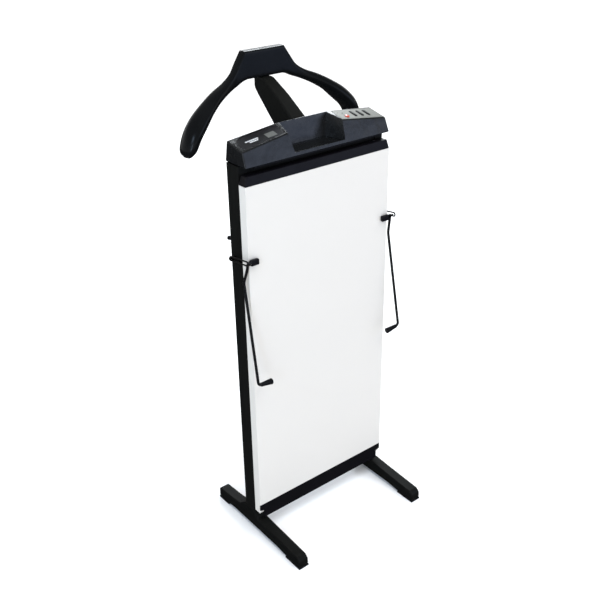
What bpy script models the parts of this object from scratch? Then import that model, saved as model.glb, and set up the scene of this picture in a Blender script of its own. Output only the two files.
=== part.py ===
"""Freestanding trouser press with a jacket hanger.

A shallow steel frame stands on two long feet.  Its front is a padded, electrically heated
platen, and a white pressing door hinged at the bottom closes against it.  Bent-wire handles
on both sides draw the door shut through a crank and a link loop.  A moulded console with a
tray and push buttons caps the frame, and a raked arm behind it carries the hanger.

Metres, +Z up, +X to the right, the door faces -Y.  Every y below is measured from the door's
front face; the empty "press" moves the whole object so that it stands centred on the origin.
"""
import bpy
import bmesh
from math import atan2, cos, hypot, pi, radians, sin
from mathutils import Vector

# ---------------------------------------------------------------- driving dimensions
GAP = 0.0003                    # clearance between pieces that touch
FOOT_FRONT = -0.148
FOOT_BACK = 0.178
FOOT_OUTER = 0.1915             # outer face of a foot
FOOT_WIDTH = 0.0257
PAD_HEIGHT = 0.0045

HALF_WIDTH = 0.190              # door and side channels
DOOR_THICK = 0.0220
DOOR_FOOT_Z = 0.0620            # lower edge of the board, behind the bottom trim
DOOR_TRIM_Z = 0.0872            # upper edge of the bottom trim
DOOR_TOP_Z = 0.8753
TRIM_TOP_Z = 0.8950

CHANNEL_FRONT = 0.0230
CHANNEL_BACK = 0.0624
CHANNEL_FLANGE = 0.0220
CHANNEL_WALL = 0.0016
CHANNEL_FOOT_Z = 0.0582
CHANNEL_TOP_Z = 0.9115
RAIL_BACK = 0.0550
BRACKET_BACK = 0.0711

CONSOLE_Z = 0.9120              # underside of the console
CONSOLE_HALF = 0.1875
CONSOLE_END_TOP = 0.1857
WING_INNER = 0.0660             # where the console's sloping wings meet the tray
TRAY_FLOOR_Z = 0.9172

HANGER_TOP_Z = 1.0850
HANGER_Y = 0.1930               # middle of the hanger's hub
ARM_BACK = 0.2085               # rearmost point of the hanger arm
DEPTH_CENTRE = (FOOT_FRONT + ARM_BACK) / 2

# clamp linkage, as (y, z) in the side view
HINGE = (0.0125, 0.0545)        # door hinge at the bottom
JOURNAL = (-0.0043, 0.7174)     # handle bearing on the door
CRANK = (-0.0095, 0.7220)       # crank pin on the handle
STUD = (0.0466, 0.7137)         # link stud on the side channel
DOOR_OPENING = radians(2.6)
HANDLE_TURN = radians(130.0)
WIRE_R = 0.0031
JOURNAL_X = 0.1955              # plane of the handle wire at its bearing
LINK_X = 0.2010                 # plane of the link loop
LINK_WIRE_R = 0.0017
LINK_HALF_GAP = 0.0043          # half the distance between the loop's two wires
STUD_R = 0.0023

SIDES = (("left", -1), ("right", 1))


# ---------------------------------------------------------------- scene and materials
def clear_scene():
    for obj in list(bpy.data.objects):
        bpy.data.objects.remove(obj, do_unlink=True)


def material(name, color, roughness, metallic=0.0):
    mat = bpy.data.materials.new(name)
    mat.use_nodes = True
    shader = mat.node_tree.nodes["Principled BSDF"]
    shader.inputs["Base Color"].default_value = (*color, 1.0)
    shader.inputs["Roughness"].default_value = roughness
    shader.inputs["Metallic"].default_value = metallic
    return mat


clear_scene()
PRESS = bpy.data.objects.new("press", None)
PRESS.location = (0.0, -DEPTH_CENTRE, 0.0)
bpy.context.collection.objects.link(PRESS)

BLACK_STEEL = material("black_steel", (0.022, 0.022, 0.023), 0.45, 0.2)
BLACK_PLASTIC = material("black_plastic", (0.020, 0.021, 0.025), 0.38)
WIRE_STEEL = material("wire_steel", (0.018, 0.018, 0.019), 0.30, 0.5)
BRIGHT_STEEL = material("bright_steel", (0.45, 0.45, 0.46), 0.30, 1.0)
WHITE_BOARD = material("white_board", (0.86, 0.86, 0.86), 0.20)
RUBBER = material("rubber", (0.015, 0.015, 0.016), 0.80)
ALUMINIUM = material("aluminium", (0.70, 0.71, 0.72), 0.35, 1.0)
FABRIC = material("fabric", (0.16, 0.16, 0.18), 0.90)
HARDBOARD = material("hardboard", (0.26, 0.16, 0.09), 0.85)
SILVER_PANEL = material("silver_panel", (0.50, 0.50, 0.48), 0.40, 0.2)
RED_LENS = material("red_lens", (0.75, 0.16, 0.10), 0.25)
DARK_LENS = material("dark_lens", (0.05, 0.05, 0.06), 0.20)
CREAM_NYLON = material("cream_nylon", (0.72, 0.70, 0.62), 0.45)
CIRCUIT_GREEN = material("circuit_green", (0.02, 0.16, 0.07), 0.50)


# ---------------------------------------------------------------- modelling helpers
def add(name, mesh, mat, pivot=(0.0, 0.0, 0.0)):
    """Links a mesh as one piece; its vertices are relative to the pivot."""
    obj = bpy.data.objects.new(name, mesh)
    obj.parent = PRESS
    obj.location = pivot
    if mat is not None:
        mesh.materials.append(mat)
    bpy.context.collection.objects.link(obj)
    return obj


def mesh_from(name, verts, faces, pivot=(0.0, 0.0, 0.0), smooth=False):
    """A closed mesh with its faces pointing out, moved so that the pivot is its origin."""
    bm = bmesh.new()
    offset = Vector(pivot)
    points = [bm.verts.new(Vector(v) - offset) for v in verts]
    for face in faces:
        bm.faces.new([points[i] for i in face])
    bmesh.ops.recalc_face_normals(bm, faces=bm.faces)
    mesh = bpy.data.meshes.new(name)
    bm.to_mesh(mesh)
    bm.free()
    if smooth:
        mesh.shade_smooth()
        mesh.set_sharp_from_angle(angle=radians(35))
    return mesh


def prism_data(outline, axis, low, high):
    """Vertices and faces of an outline in the other two axes, extruded from low to high."""
    def point(pair, level):
        a, b = pair
        return {"x": (level, a, b), "y": (a, level, b), "z": (a, b, level)}[axis]
    count = len(outline)
    verts = [point(p, low) for p in outline] + [point(p, high) for p in outline]
    faces = [list(range(count))[::-1], list(range(count, 2 * count))]
    faces += [[i, (i + 1) % count, (i + 1) % count + count, i + count] for i in range(count)]
    return verts, faces


def prism(name, outline, axis, low, high, mat, pivot=(0.0, 0.0, 0.0)):
    verts, faces = prism_data(outline, axis, low, high)
    return add(name, mesh_from(name, verts, faces, pivot), mat, pivot)


def box(name, low, high, mat, pivot=(0.0, 0.0, 0.0)):
    outline = [(low[0], low[1]), (high[0], low[1]), (high[0], high[1]), (low[0], high[1])]
    return prism(name, outline, "z", low[2], high[2], mat, pivot)


def side_box(name, side, x_range, y_range, z_range, mat, pivot=(0.0, 0.0, 0.0)):
    """A box whose x range is given for the right side and mirrored for the left."""
    low_x, high_x = sorted((side * x_range[0], side * x_range[1]))
    return box(name, (low_x, y_range[0], z_range[0]), (high_x, y_range[1], z_range[1]), mat, pivot)


def loft(name, rings, mat, pivot=(0.0, 0.0, 0.0), smooth=True):
    """Closed surface through rings of equal length, with flat ends."""
    count = len(rings[0])
    verts = [p for ring in rings for p in ring]
    faces = [list(range(count))[::-1]]
    for k in range(len(rings) - 1):
        base = k * count
        for i in range(count):
            j = (i + 1) % count
            faces.append([base + i, base + j, base + count + j, base + count + i])
    last = (len(rings) - 1) * count
    faces.append([last + i for i in range(count)])
    return add(name, mesh_from(name, verts, faces, pivot, smooth), mat, pivot)


def turned(name, start, direction, profile, mat, segments=20, pivot=(0.0, 0.0, 0.0)):
    """A turned piece: profile lists (distance along the axis, radius)."""
    axis = Vector(direction).normalized()
    across = axis.orthogonal().normalized()
    other = axis.cross(across)
    rings = []
    for distance, radius in profile:
        centre = Vector(start) + axis * distance
        rings.append([centre + (across * cos(a) + other * sin(a)) * radius
                      for a in (2 * pi * i / segments for i in range(segments))])
    return loft(name, rings, mat, pivot)


def rod(name, start, end, radius, mat, segments=20, pivot=(0.0, 0.0, 0.0)):
    span = Vector(end) - Vector(start)
    return turned(name, start, span, [(0.0, radius), (span.length, radius)], mat, segments, pivot)


def bevel(obj, width, segments=2, angle=40):
    mod = obj.modifiers.new("Edge rounding", "BEVEL")
    mod.width = width
    mod.segments = segments
    mod.limit_method = "ANGLE"
    mod.angle_limit = radians(angle)
    return obj


def boolean(obj, tool, operation):
    mod = obj.modifiers.new(operation.title(), "BOOLEAN")
    mod.operation = operation
    mod.solver = "EXACT"
    mod.object = tool
    tool.hide_render = True
    tool.display_type = "WIRE"
    return obj


def cut(obj, *tools):
    for tool in tools:
        boolean(obj, tool, "DIFFERENCE")
    return obj


def unite(obj, *tools):
    for tool in tools:
        boolean(obj, tool, "UNION")
    return obj


def screw(name, place, pivot=(0.0, 0.0, 0.0)):
    """Pan head of a screw that faces the back, with its chamfered edge."""
    return turned(name, place, (0, 1, 0), [(0.0, 0.0034), (0.0012, 0.0034), (0.0017, 0.0026)],
                  BRIGHT_STEEL, 12, pivot)


def fillet_path(corners, radii, steps=4):
    """A 3-D polyline whose inner corners are rounded, each with its own radius."""
    points = [Vector(corners[0])]
    for before, corner, after, radius in zip(corners, corners[1:], corners[2:], radii):
        corner = Vector(corner)
        into = (Vector(before) - corner).normalized()
        out = (Vector(after) - corner).normalized()
        half = into.angle(out) / 2
        reach = radius / max(0.05, sin(half) / cos(half)) if half < pi / 2 - 0.01 else 0.0
        limit = 0.48 * min((Vector(before) - corner).length, (Vector(after) - corner).length)
        reach = min(reach, limit)
        if reach < 1e-6:
            points.append(corner)
            continue
        bend = reach * sin(half) / cos(half)
        centre = corner + (into + out).normalized() * (bend / sin(half))
        first = corner + into * reach - centre
        second = corner + out * reach - centre
        turn = first.angle(second)
        for k in range(steps + 1):
            share = turn * k / steps
            points.append(centre + (first * sin(turn - share) + second * sin(share)) / sin(turn))
    points.append(Vector(corners[-1]))
    return points


def wire(name, points, radius, mat, pivot=(0.0, 0.0, 0.0), cyclic=False, resolution=3):
    """A round wire along a polyline, as a bevelled curve with closed ends."""
    curve = bpy.data.curves.new(name, "CURVE")
    curve.dimensions = "3D"
    curve.bevel_depth = radius
    curve.bevel_resolution = resolution
    curve.use_fill_caps = not cyclic
    spline = curve.splines.new("POLY")
    spline.points.add(len(points) - 1)
    for slot, point in zip(spline.points, points):
        slot.co = (*(Vector(point) - Vector(pivot)), 1.0)
    spline.use_cyclic_u = cyclic
    return add(name, curve, mat, pivot)


# ---------------------------------------------------------------- feet and frame
def foot_outline():
    """Side view of a foot: arched underside, saddle under the side channel."""
    arch = 0.0078
    return [(FOOT_FRONT + 0.002, PAD_HEIGHT), (-0.094, PAD_HEIGHT), (-0.062, arch),
            (0.112, arch), (0.136, PAD_HEIGHT), (FOOT_BACK - 0.002, PAD_HEIGHT),
            (FOOT_BACK, 0.010), (FOOT_BACK, 0.026), (FOOT_BACK - 0.004, 0.030),
            (0.120, 0.0345), (0.090, 0.0385), (0.0655, 0.0579),
            (0.0225, 0.0579), (0.0130, 0.0400), (-0.030, 0.0365),
            (-0.138, 0.0300), (FOOT_FRONT + 0.0015, 0.0225), (FOOT_FRONT, 0.0100)]


def make_feet():
    tongue_y = (CHANNEL_FRONT + 0.0024, CHANNEL_BACK - 0.0024)
    for label, side in SIDES:
        low, high = sorted((side * FOOT_OUTER, side * (FOOT_OUTER - FOOT_WIDTH)))
        foot = prism(f"foot_{label}", foot_outline(), "x", low, high, BLACK_PLASTIC)
        bevel(foot, 0.0022, 2, 30)
        tongue = side_box(f"foot_tongue_{label}", side, (0.1700, 0.1866), tongue_y,
                          (0.0500, 0.0840), BLACK_PLASTIC)
        unite(foot, tongue)
        for place, front, back in (("front", FOOT_FRONT, -0.0955), ("rear", 0.1375, FOOT_BACK)):
            outline = [(front + 0.0015, 0.0), (back - 0.0015, 0.0), (back, 0.0015),
                       (back, PAD_HEIGHT - GAP), (front, PAD_HEIGHT - GAP), (front, 0.0015)]
            prism(f"{place}_pad_{label}", outline, "x", low - 0.0006, high + 0.0006, RUBBER)


def slot_outline(width, start, end, steps=6):
    """A slot with round ends between two (y, z) points."""
    direction = atan2(end[1] - start[1], end[0] - start[0])
    points = []
    for centre, turn in ((end, -pi / 2), (start, pi / 2)):
        for k in range(steps + 1):
            angle = direction + turn + pi * k / steps
            points.append((centre[0] + width / 2 * cos(angle), centre[1] + width / 2 * sin(angle)))
    return points


def turn_about(point, centre, angle):
    """Rotates a side-view point; a positive angle carries the top of the door forward."""
    y, z = point[0] - centre[0], point[1] - centre[1]
    return (centre[0] + y * cos(angle) - z * sin(angle), centre[1] + y * sin(angle) + z * cos(angle))


def link_travel():
    """How far the link loop and its stud move when the door is fully open."""
    journal = turn_about(JOURNAL, HINGE, DOOR_OPENING)
    crank = turn_about(CRANK, HINGE, DOOR_OPENING)
    crank = turn_about(crank, journal, -HANDLE_TURN)
    return crank[0] - CRANK[0], crank[1] - CRANK[1]


def make_channels():
    """Side channels: C-sections open to the inside, with a slot for the link stud."""
    travel = link_travel()
    open_stud = (STUD[0] + travel[0], STUD[1] + travel[1])
    for label, side in SIDES:
        outer, inner = HALF_WIDTH, HALF_WIDTH - CHANNEL_FLANGE
        web, front, back = HALF_WIDTH - CHANNEL_WALL, CHANNEL_FRONT, CHANNEL_BACK
        wall = CHANNEL_WALL
        round_r = 0.0020
        outline = [(inner, front), (outer - round_r, front),
                   (outer - 0.0006, front + 0.0006), (outer, front + round_r),
                   (outer, back - round_r), (outer - 0.0006, back - 0.0006),
                   (outer - round_r, back), (inner, back), (inner, back - wall),
                   (web, back - wall), (web, front + wall), (inner, front + wall)]
        outline = [(side * x, y) for x, y in outline]
        channel = prism(f"side_channel_{label}", outline, "z", CHANNEL_FOOT_Z, CHANNEL_TOP_Z,
                        BLACK_STEEL)
        slot = slot_outline(2 * STUD_R + 0.0008, STUD, open_stud)
        cutter = prism(f"stud_slot_{label}", slot, "x", side * (web - 0.002),
                       side * (outer + 0.002), None)
        cut(channel, cutter)


def make_rails():
    """Cross rails between the channels, U-sections open to the back."""
    reach = HALF_WIDTH - CHANNEL_FLANGE - GAP
    for name, front, low, high in (("top_rail", 0.0252, 0.8830, 0.9085),
                                   ("bottom_rail", 0.0305, 0.0640, 0.0960)):
        rail = box(name, (-reach, front, low), (reach, RAIL_BACK, high), BLACK_STEEL)
        hollow = box(name + "_hollow", (-reach - 0.001, front + CHANNEL_WALL, low + CHANNEL_WALL),
                     (reach + 0.001, RAIL_BACK + 0.001, high - CHANNEL_WALL), None)
        cut(rail, hollow)


def make_platen():
    """Heated side of the press, from the front: fabric pad, plate, heater, board."""
    half, low, high = 0.1670, 0.1080, 0.8800
    pad = box("platen_pad", (-half, 0.0268, low), (half, 0.0302, high), FABRIC)
    bevel(pad, 0.0012, 2)
    box("platen_plate", (-half, 0.0305, low), (half, 0.0320, high), ALUMINIUM)
    make_heater(0.0323, 0.0331)
    board = box("platen_board", (-half, 0.0334, low), (half, 0.0384, high), HARDBOARD)
    hole = rod("cutout_window", (0.0, 0.030, 0.640), (0.0, 0.045, 0.640), 0.0120, None, 24)
    cut(board, hole)
    turned("thermal_cutout", (0.0, 0.0334, 0.640), (0, 1, 0),
           [(0.0, 0.0085), (0.0050, 0.0085), (0.0052, 0.0110), (0.0090, 0.0110)],
           ALUMINIUM, 20)


def make_heater(front, back):
    """Heater: a flat ribbon folded back and forth between the plate and the board."""
    half, low, high, runs = 0.145, 0.136, 0.852, 13
    path = []
    for run in range(runs):
        z = low + (high - low) * run / (runs - 1)
        end = half if run % 2 == 0 else -half
        path += [(-end, z), (end, z)]
    verts, faces = prism_data(ribbon_outline(path, 0.012), "y", front, back)
    add("heater_element", mesh_from("heater_element", verts, faces), BRIGHT_STEEL)


def ribbon_outline(path, width):
    """Both edges of a flat ribbon along a path with square corners."""
    normals = []
    for (a, b), (c, d) in zip(path, path[1:]):
        length = hypot(c - a, d - b)
        normals.append(((b - d) / length, (c - a) / length))
    corners = [normals[0]]
    corners += [(n[0] + m[0], n[1] + m[1]) for n, m in zip(normals, normals[1:])]
    corners.append(normals[-1])
    half = width / 2
    left = [(p[0] + n[0] * half, p[1] + n[1] * half) for p, n in zip(path, corners)]
    right = [(p[0] - n[0] * half, p[1] - n[1] * half) for p, n in zip(path, corners)]
    return left + right[::-1]


def make_rear():
    """Rear cover with vents and screws, the cable gland and the two rear pegs."""
    half, front, back, low, high = 0.1674, 0.0606, 0.0622, 0.1100, 0.9055
    cover = box("rear_cover", (-half, front, low), (half, back, high), BLACK_STEEL)
    vents = [box(f"vent_{row}_{k}", (-0.045, front - 0.001, low_z + 0.011 * k),
                 (0.045, back + 0.001, low_z + 0.011 * k + 0.004), None)
             for row, low_z in (("low", 0.170), ("high", 0.790)) for k in range(5)]
    gland_x, gland_z = 0.125, 0.150
    hole = rod("gland_hole", (gland_x, front - 0.001, gland_z), (gland_x, back + 0.001, gland_z),
               0.0050, None, 20)
    cut(cover, hole, *vents)

    gland = turned("cable_gland", (gland_x, back + GAP, gland_z), (0, 1, 0),
                   [(0.0, 0.0095), (0.0022, 0.0095), (0.0032, 0.0072), (0.0125, 0.0058),
                    (0.0140, 0.0050)], RUBBER, 20)
    bore = rod("gland_bore", (gland_x, back - 0.002, gland_z), (gland_x, back + 0.02, gland_z),
               0.0036, None, 20)
    cut(gland, bore)
    for label, side in SIDES:
        turned(f"rear_peg_{label}", (side * 0.1840, CHANNEL_BACK + GAP, 0.7455), (0, 1, 0),
               [(0.0, 0.0036), (0.0100, 0.0030), (0.0110, 0.0046), (0.0142, 0.0046),
                (0.0152, 0.0036)], BLACK_PLASTIC, 16)

    corners = [(x, z) for z in (0.125, 0.885) for x in (-0.158, 0.158)]
    for number, (x, z) in enumerate(corners, 1):
        screw(f"rear_screw_{number}", (x, back + GAP, z))


def make_wiring():
    """Terminal block above the gland, and the lead up to the console's board."""
    block = box("terminal_block", (0.1090, 0.0387, 0.1720), (0.1410, 0.0520, 0.1880), CREAM_NYLON)
    bevel(block, 0.0010, 1)
    supply = [(0.1330, 0.0465, 0.1885), (0.1330, 0.0465, 0.2150), (0.1500, 0.0578, 0.2600),
              (0.1500, 0.0578, 0.9250), (0.1400, 0.0480, 0.9290)]
    wire("supply_lead", fillet_path(supply, (0.012, 0.012, 0.006)), 0.0013, BLACK_PLASTIC, resolution=1)


# ---------------------------------------------------------------- console
def console_front(z):
    return -0.0010 + 0.400 * (z - CONSOLE_Z)


def console_back(z):
    return 0.0680 - 0.127 * (z - CONSOLE_Z)


def wing_height(x, y):
    """Height of the sloping wing tops; they fall outward and rise towards the back."""
    return 0.9570 + 0.2273 * (y - 0.0170) - 0.1167 * (max(abs(x), WING_INNER) - WING_INNER)


def wing_point(x, y, lift=0.0):
    """A point above a wing's top, lifted along its normal."""
    normal = Vector((0.1167 if x > 0 else -0.1167, -0.2273, 1.0)).normalized()
    return Vector((x, y, wing_height(x, y))) + normal * lift


def wing_data(outline, low, high):
    """Vertices and faces of a solid whose outline lies in a wing's top, between two lifts."""
    verts = [wing_point(x, y, low) for x, y in outline] + [wing_point(x, y, high) for x, y in outline]
    return verts, prism_data(outline, "z", low, high)[1]


def wing_piece(name, outline, low, high, mat, pivot=(0.0, 0.0, 0.0)):
    return add(name, mesh_from(name, *wing_data(outline, low, high), pivot), mat, pivot)


def scaled_outline(outline, margin):
    """Moves every point of an outline away from its middle by about the margin."""
    cx = sum(p[0] for p in outline) / len(outline)
    cy = sum(p[1] for p in outline) / len(outline)
    half_x = max(abs(p[0] - cx) for p in outline)
    half_y = max(abs(p[1] - cy) for p in outline)
    return [(cx + (x - cx) * (1 + margin / half_x), cy + (y - cy) * (1 + margin / half_y))
            for x, y in outline]


def top_edge(x, inset, face):
    """Front or back corner of the console's top at one x, with y and z solved together."""
    y = 0.014 if face == "front" else 0.060
    for _ in range(6):
        z = wing_height(x, y) - inset
        y = console_front(z) + inset if face == "front" else console_back(z) - inset
    return (x, y, z)


def make_console():
    """Moulded console: two wings with sloping tops and an open tray between them."""
    stations = (-CONSOLE_END_TOP, -WING_INNER, WING_INNER, CONSOLE_END_TOP)
    verts = [(-CONSOLE_HALF, console_front(CONSOLE_Z), CONSOLE_Z),
             (CONSOLE_HALF, console_front(CONSOLE_Z), CONSOLE_Z),
             (CONSOLE_HALF, console_back(CONSOLE_Z), CONSOLE_Z),
             (-CONSOLE_HALF, console_back(CONSOLE_Z), CONSOLE_Z)]
    verts += [top_edge(x, 0.0, "front") for x in stations]
    verts += [top_edge(x, 0.0, "back") for x in stations]
    faces = [(0, 3, 2, 1), (0, 1, 7, 6, 5, 4), (2, 3, 8, 9, 10, 11), (1, 2, 11, 7), (3, 0, 4, 8),
             (4, 5, 9, 8), (5, 6, 10, 9), (6, 7, 11, 10)]
    shell = add("console_shell", mesh_from("console_shell", verts, faces), BLACK_PLASTIC)
    bevel(shell, 0.0022, 2, 12)
    cut(shell, tray_cutter(), tray_floor_cutter(), *[wing_cavity(label, s) for label, s in SIDES])
    cut(shell, *panel_cutters())

    base = box("console_base", (-0.1672, 0.0012, 0.9091), (0.1672, 0.0605, 0.9117), BLACK_PLASTIC)
    lead_hole = rod("lead_hole", (0.150, 0.0578, 0.900), (0.150, 0.0578, 0.920), 0.0024, None, 12)
    cut(base, lead_hole)


def hexahedron(name, bottom, top):
    """A cutter between two four-cornered rings."""
    verts = list(bottom) + list(top)
    faces = [(3, 2, 1, 0), (4, 5, 6, 7)] + [(i, (i + 1) % 4, (i + 1) % 4 + 4, i + 4) for i in range(4)]
    return add(name, mesh_from(name, verts, faces), None)


def tray_cutter():
    """The tray's opening: its back wall leans back, it widens to the front, and a lip closes it."""
    def ring(z, back, back_half, front_half):
        return [(-back_half, back, z), (back_half, back, z),
                (front_half, -0.0200, z), (-front_half, -0.0200, z)]
    return hexahedron("tray_opening", ring(TRAY_FLOOR_Z + 0.0018, 0.0508, 0.0505, 0.0720),
                      ring(0.9850, 0.0616, 0.0660, 0.0885))


def tray_floor_cutter():
    """The tray's floor, lowered behind the front lip."""
    def ring(z):
        return [(-0.0500, 0.0505, z), (0.0500, 0.0505, z), (0.0625, 0.0052, z), (-0.0625, 0.0052, z)]
    return hexahedron("tray_floor", ring(TRAY_FLOOR_Z), ring(TRAY_FLOOR_Z + 0.004))


def wing_cavity(label, side):
    """Hollow of one wing, open underneath."""
    wall, inner, outer = 0.0024, 0.0835, CONSOLE_END_TOP - 0.0024
    low = CONSOLE_Z - 0.002
    bottom = [(side * inner, console_front(low) + wall, low), (side * outer, console_front(low) + wall, low),
              (side * outer, console_back(low) - wall, low), (side * inner, console_back(low) - wall, low)]
    top = [top_edge(side * x, wall, face) for x, face in
           ((inner, "front"), (outer, "front"), (outer, "back"), (inner, "back"))]
    return hexahedron(f"wing_cavity_{label}", bottom, top)


def round_outline(x, y, radius, count=20):
    return [(x + radius * cos(2 * pi * i / count), y + radius * sin(2 * pi * i / count))
            for i in range(count)]


PANEL = [(0.0730, 0.0188), (0.1833, 0.0135), (0.1837, 0.0592), (0.0730, 0.0588)]
BADGE = [(-0.1765, 0.0205), (-0.1715, 0.0165), (-0.0760, 0.0212), (-0.0725, 0.0250),
         (-0.0740, 0.0565), (-0.1590, 0.0560), (-0.1700, 0.0510), (-0.1765, 0.0420)]
RECESS = 0.0012                 # depth of the pockets for the panel and the badge
TIMER_X = (0.1180, 0.1362, 0.1544)
LENS = round_outline(0.0930, 0.0446, 0.0017, 12)


def pill_outline(x, y, width, length):
    """A slot outline along y."""
    reach = (length - width) / 2
    return [(x + q, y + p) for p, q in slot_outline(width, (-reach, 0.0), (reach, 0.0), 5)]


def button_list():
    """Name, outline, material and height above the panel of every push button."""
    controls = [(f"timer_button_{i + 1}", pill_outline(x, 0.0380, 0.0070, 0.0245), BLACK_PLASTIC, 0.0014)
                for i, x in enumerate(TIMER_X)]
    controls.append(("power_button", round_outline(0.0936, 0.0290, 0.0050), RED_LENS, 0.0019))
    return controls


def control_holes(prefix):
    """Clearance holes for the buttons and the lenses, as (label, cutter)."""
    outlines = [(name, outline) for name, outline, _, _ in button_list()] + [("lens", LENS)]
    return [(name, wing_piece(f"{prefix}_{name}_hole", scaled_outline(outline, GAP), -0.0070, 0.02, None))
            for name, outline in outlines]


def panel_cutters():
    cutters = [wing_piece("panel_pocket", scaled_outline(PANEL, GAP), -RECESS, 0.02, None),
               wing_piece("badge_pocket", scaled_outline(BADGE, GAP), -RECESS, 0.02, None)]
    return cutters + [hole for _, hole in control_holes("shell")]


def make_controls():
    """Control panel, buttons, lenses, circuit board and switches of the right wing."""
    panel = wing_piece("control_panel", PANEL, -RECESS + GAP, GAP, SILVER_PANEL)
    cut(panel, *[hole for _, hole in control_holes("panel")])
    for name, outline, mat, height in button_list():
        cx = (min(p[0] for p in outline) + max(p[0] for p in outline)) / 2
        cy = (min(p[1] for p in outline) + max(p[1] for p in outline)) / 2
        pivot = wing_point(cx, cy)
        piece = wing_piece(name, outline, -0.0044, height, mat, pivot)
        bevel(piece, 0.0004, 1, 60)
        flange = wing_piece(name + "_flange", scaled_outline(outline, 0.0012), -0.0044, -0.0030,
                            None, pivot)
        unite(piece, flange)
    wing_piece("indicator_lens", LENS, -0.0044, 0.0006, DARK_LENS)
    outline = [(0.0880, 0.0170), (0.1680, 0.0160), (0.1680, 0.0530), (0.0880, 0.0530)]
    board = wing_piece("circuit_board", outline, -0.0094, -0.0080, CIRCUIT_GREEN)
    relay = [(0.1000, 0.0200), (0.1250, 0.0200), (0.1250, 0.0340), (0.1000, 0.0340)]
    unite(board, wing_piece("relay", relay, -0.0240, -0.0090, None))
    for x, y in [(x, 0.0380) for x in TIMER_X] + [(0.0936, 0.0290)]:
        unite(board, wing_piece(f"switch_{x}", square_outline(x, y, 0.0060), -0.0083, -0.0065, None),
              wing_piece(f"plunger_{x}", round_outline(x, y, 0.0016, 10), -0.0068, -0.0059, None))


def square_outline(x, y, size):
    half = size / 2
    return [(x - half, y - half), (x + half, y - half), (x + half, y + half), (x - half, y + half)]


def make_badge():
    """Plain plate set into the left wing."""
    plate = wing_piece("badge_plate", BADGE, -RECESS + GAP, -0.0003, BLACK_PLASTIC)
    bevel(plate, 0.0002, 1)


# ---------------------------------------------------------------- hanger
def make_hanger_mount():
    """Bracket on the back of the frame and the raked arm that rises from it."""
    outline = [(0.0625, 0.8640), (BRACKET_BACK, 0.8640), (BRACKET_BACK, 0.9560),
               (0.0688, 0.9560), (0.0688, 0.9080), (0.0625, 0.9080)]
    bracket = prism("hanger_bracket", outline, "x", -0.0290, 0.0290, BLACK_STEEL)
    bevel(bracket, 0.0006, 1)

    root = BRACKET_BACK + GAP
    outline = [(root, 0.8690), (0.1390, 0.9370), (0.1945, 0.9880), (0.2060, 1.0000),
               (ARM_BACK, 1.0060), (ARM_BACK, HANGER_FOOT - GAP), (0.1790, HANGER_FOOT - GAP),
               (0.1720, 1.0258), (0.1240, 0.9985), (root, 0.9620)]
    verts, faces = prism_data(outline, "x", -1.0, 1.0)
    verts = [(x * (0.0180 - 0.036 * (y - root)), y, z) for x, y, z in verts]
    arm = add("hanger_arm", mesh_from("hanger_arm", verts, faces), BLACK_PLASTIC)
    bevel(arm, 0.0030, 2, 20)
    spigot = box("arm_spigot", (-0.0100, HANGER_Y - 0.0065, 1.0150),
                 (0.0100, HANGER_Y + 0.0065, 1.0450), BLACK_PLASTIC)
    unite(arm, spigot)


HANGER_FOOT = 1.0275            # underside of the hanger's hub
# upper edge (x, z), lower edge (x, z), middle y, half depth, squareness of the section
SHOULDER = (
    ((0.0505, HANGER_TOP_Z), (0.0460, HANGER_FOOT), 0.1930, 0.0113, 9.0),
    ((0.0655, 1.0640), (0.0580, 1.0240), 0.1925, 0.0112, 6.0),
    ((0.0815, 1.0425), (0.0740, 1.0165), 0.1905, 0.0112, 4.0),
    ((0.1040, 1.0275), (0.0947, 1.0084), 0.1865, 0.0130, 3.0),
    ((0.1340, 1.0150), (0.1220, 0.9948), 0.1795, 0.0172, 2.4),
    ((0.1640, 0.9990), (0.1480, 0.9777), 0.1710, 0.0218, 2.1),
    ((0.1930, 0.9800), (0.1703, 0.9560), 0.1636, 0.0255, 2.0),
    ((0.2160, 0.9560), (0.1903, 0.9365), 0.1575, 0.0265, 2.0),
    ((0.2290, 0.9300), (0.2024, 0.9173), 0.1555, 0.0245, 2.0),
    ((0.2325, 0.9150), (0.2110, 0.9080), 0.1550, 0.0185, 2.0),
    ((0.2275, 0.9060), (0.2165, 0.9035), 0.1545, 0.0085, 2.0),
)


def shoulder_ring(side, section, count=20):
    """One superellipse section of the hanger, spanning its upper and lower edges."""
    (tx, tz), (bx, bz), y, half_depth, power = section
    centre = Vector((side * (tx + bx) / 2, y, (tz + bz) / 2))
    up = Vector((side * (tx - bx) / 2, 0.0, (tz - bz) / 2))
    depth = Vector((0.0, half_depth, 0.0))
    ring = []
    for i in range(count):
        angle = 2 * pi * (i + 0.5) / count
        c, s = cos(angle), sin(angle)
        a = abs(c) ** (2 / power) * (1 if c >= 0 else -1)
        b = abs(s) ** (2 / power) * (1 if s >= 0 else -1)
        ring.append(centre + up * a + depth * b)
    return ring


def make_hanger():
    """Yoke-shaped hanger: a flat-topped hub with shoulders that sweep down and forward."""
    rings = [shoulder_ring(-1, s) for s in SHOULDER[::-1]] + [shoulder_ring(1, s) for s in SHOULDER]
    hanger = loft("hanger", rings, BLACK_PLASTIC)
    socket = box("spigot_socket", (-0.0103, HANGER_Y - 0.0068, 1.0200),
                 (0.0103, HANGER_Y + 0.0068, 1.0453), None)
    cut(hanger, socket)


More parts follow.
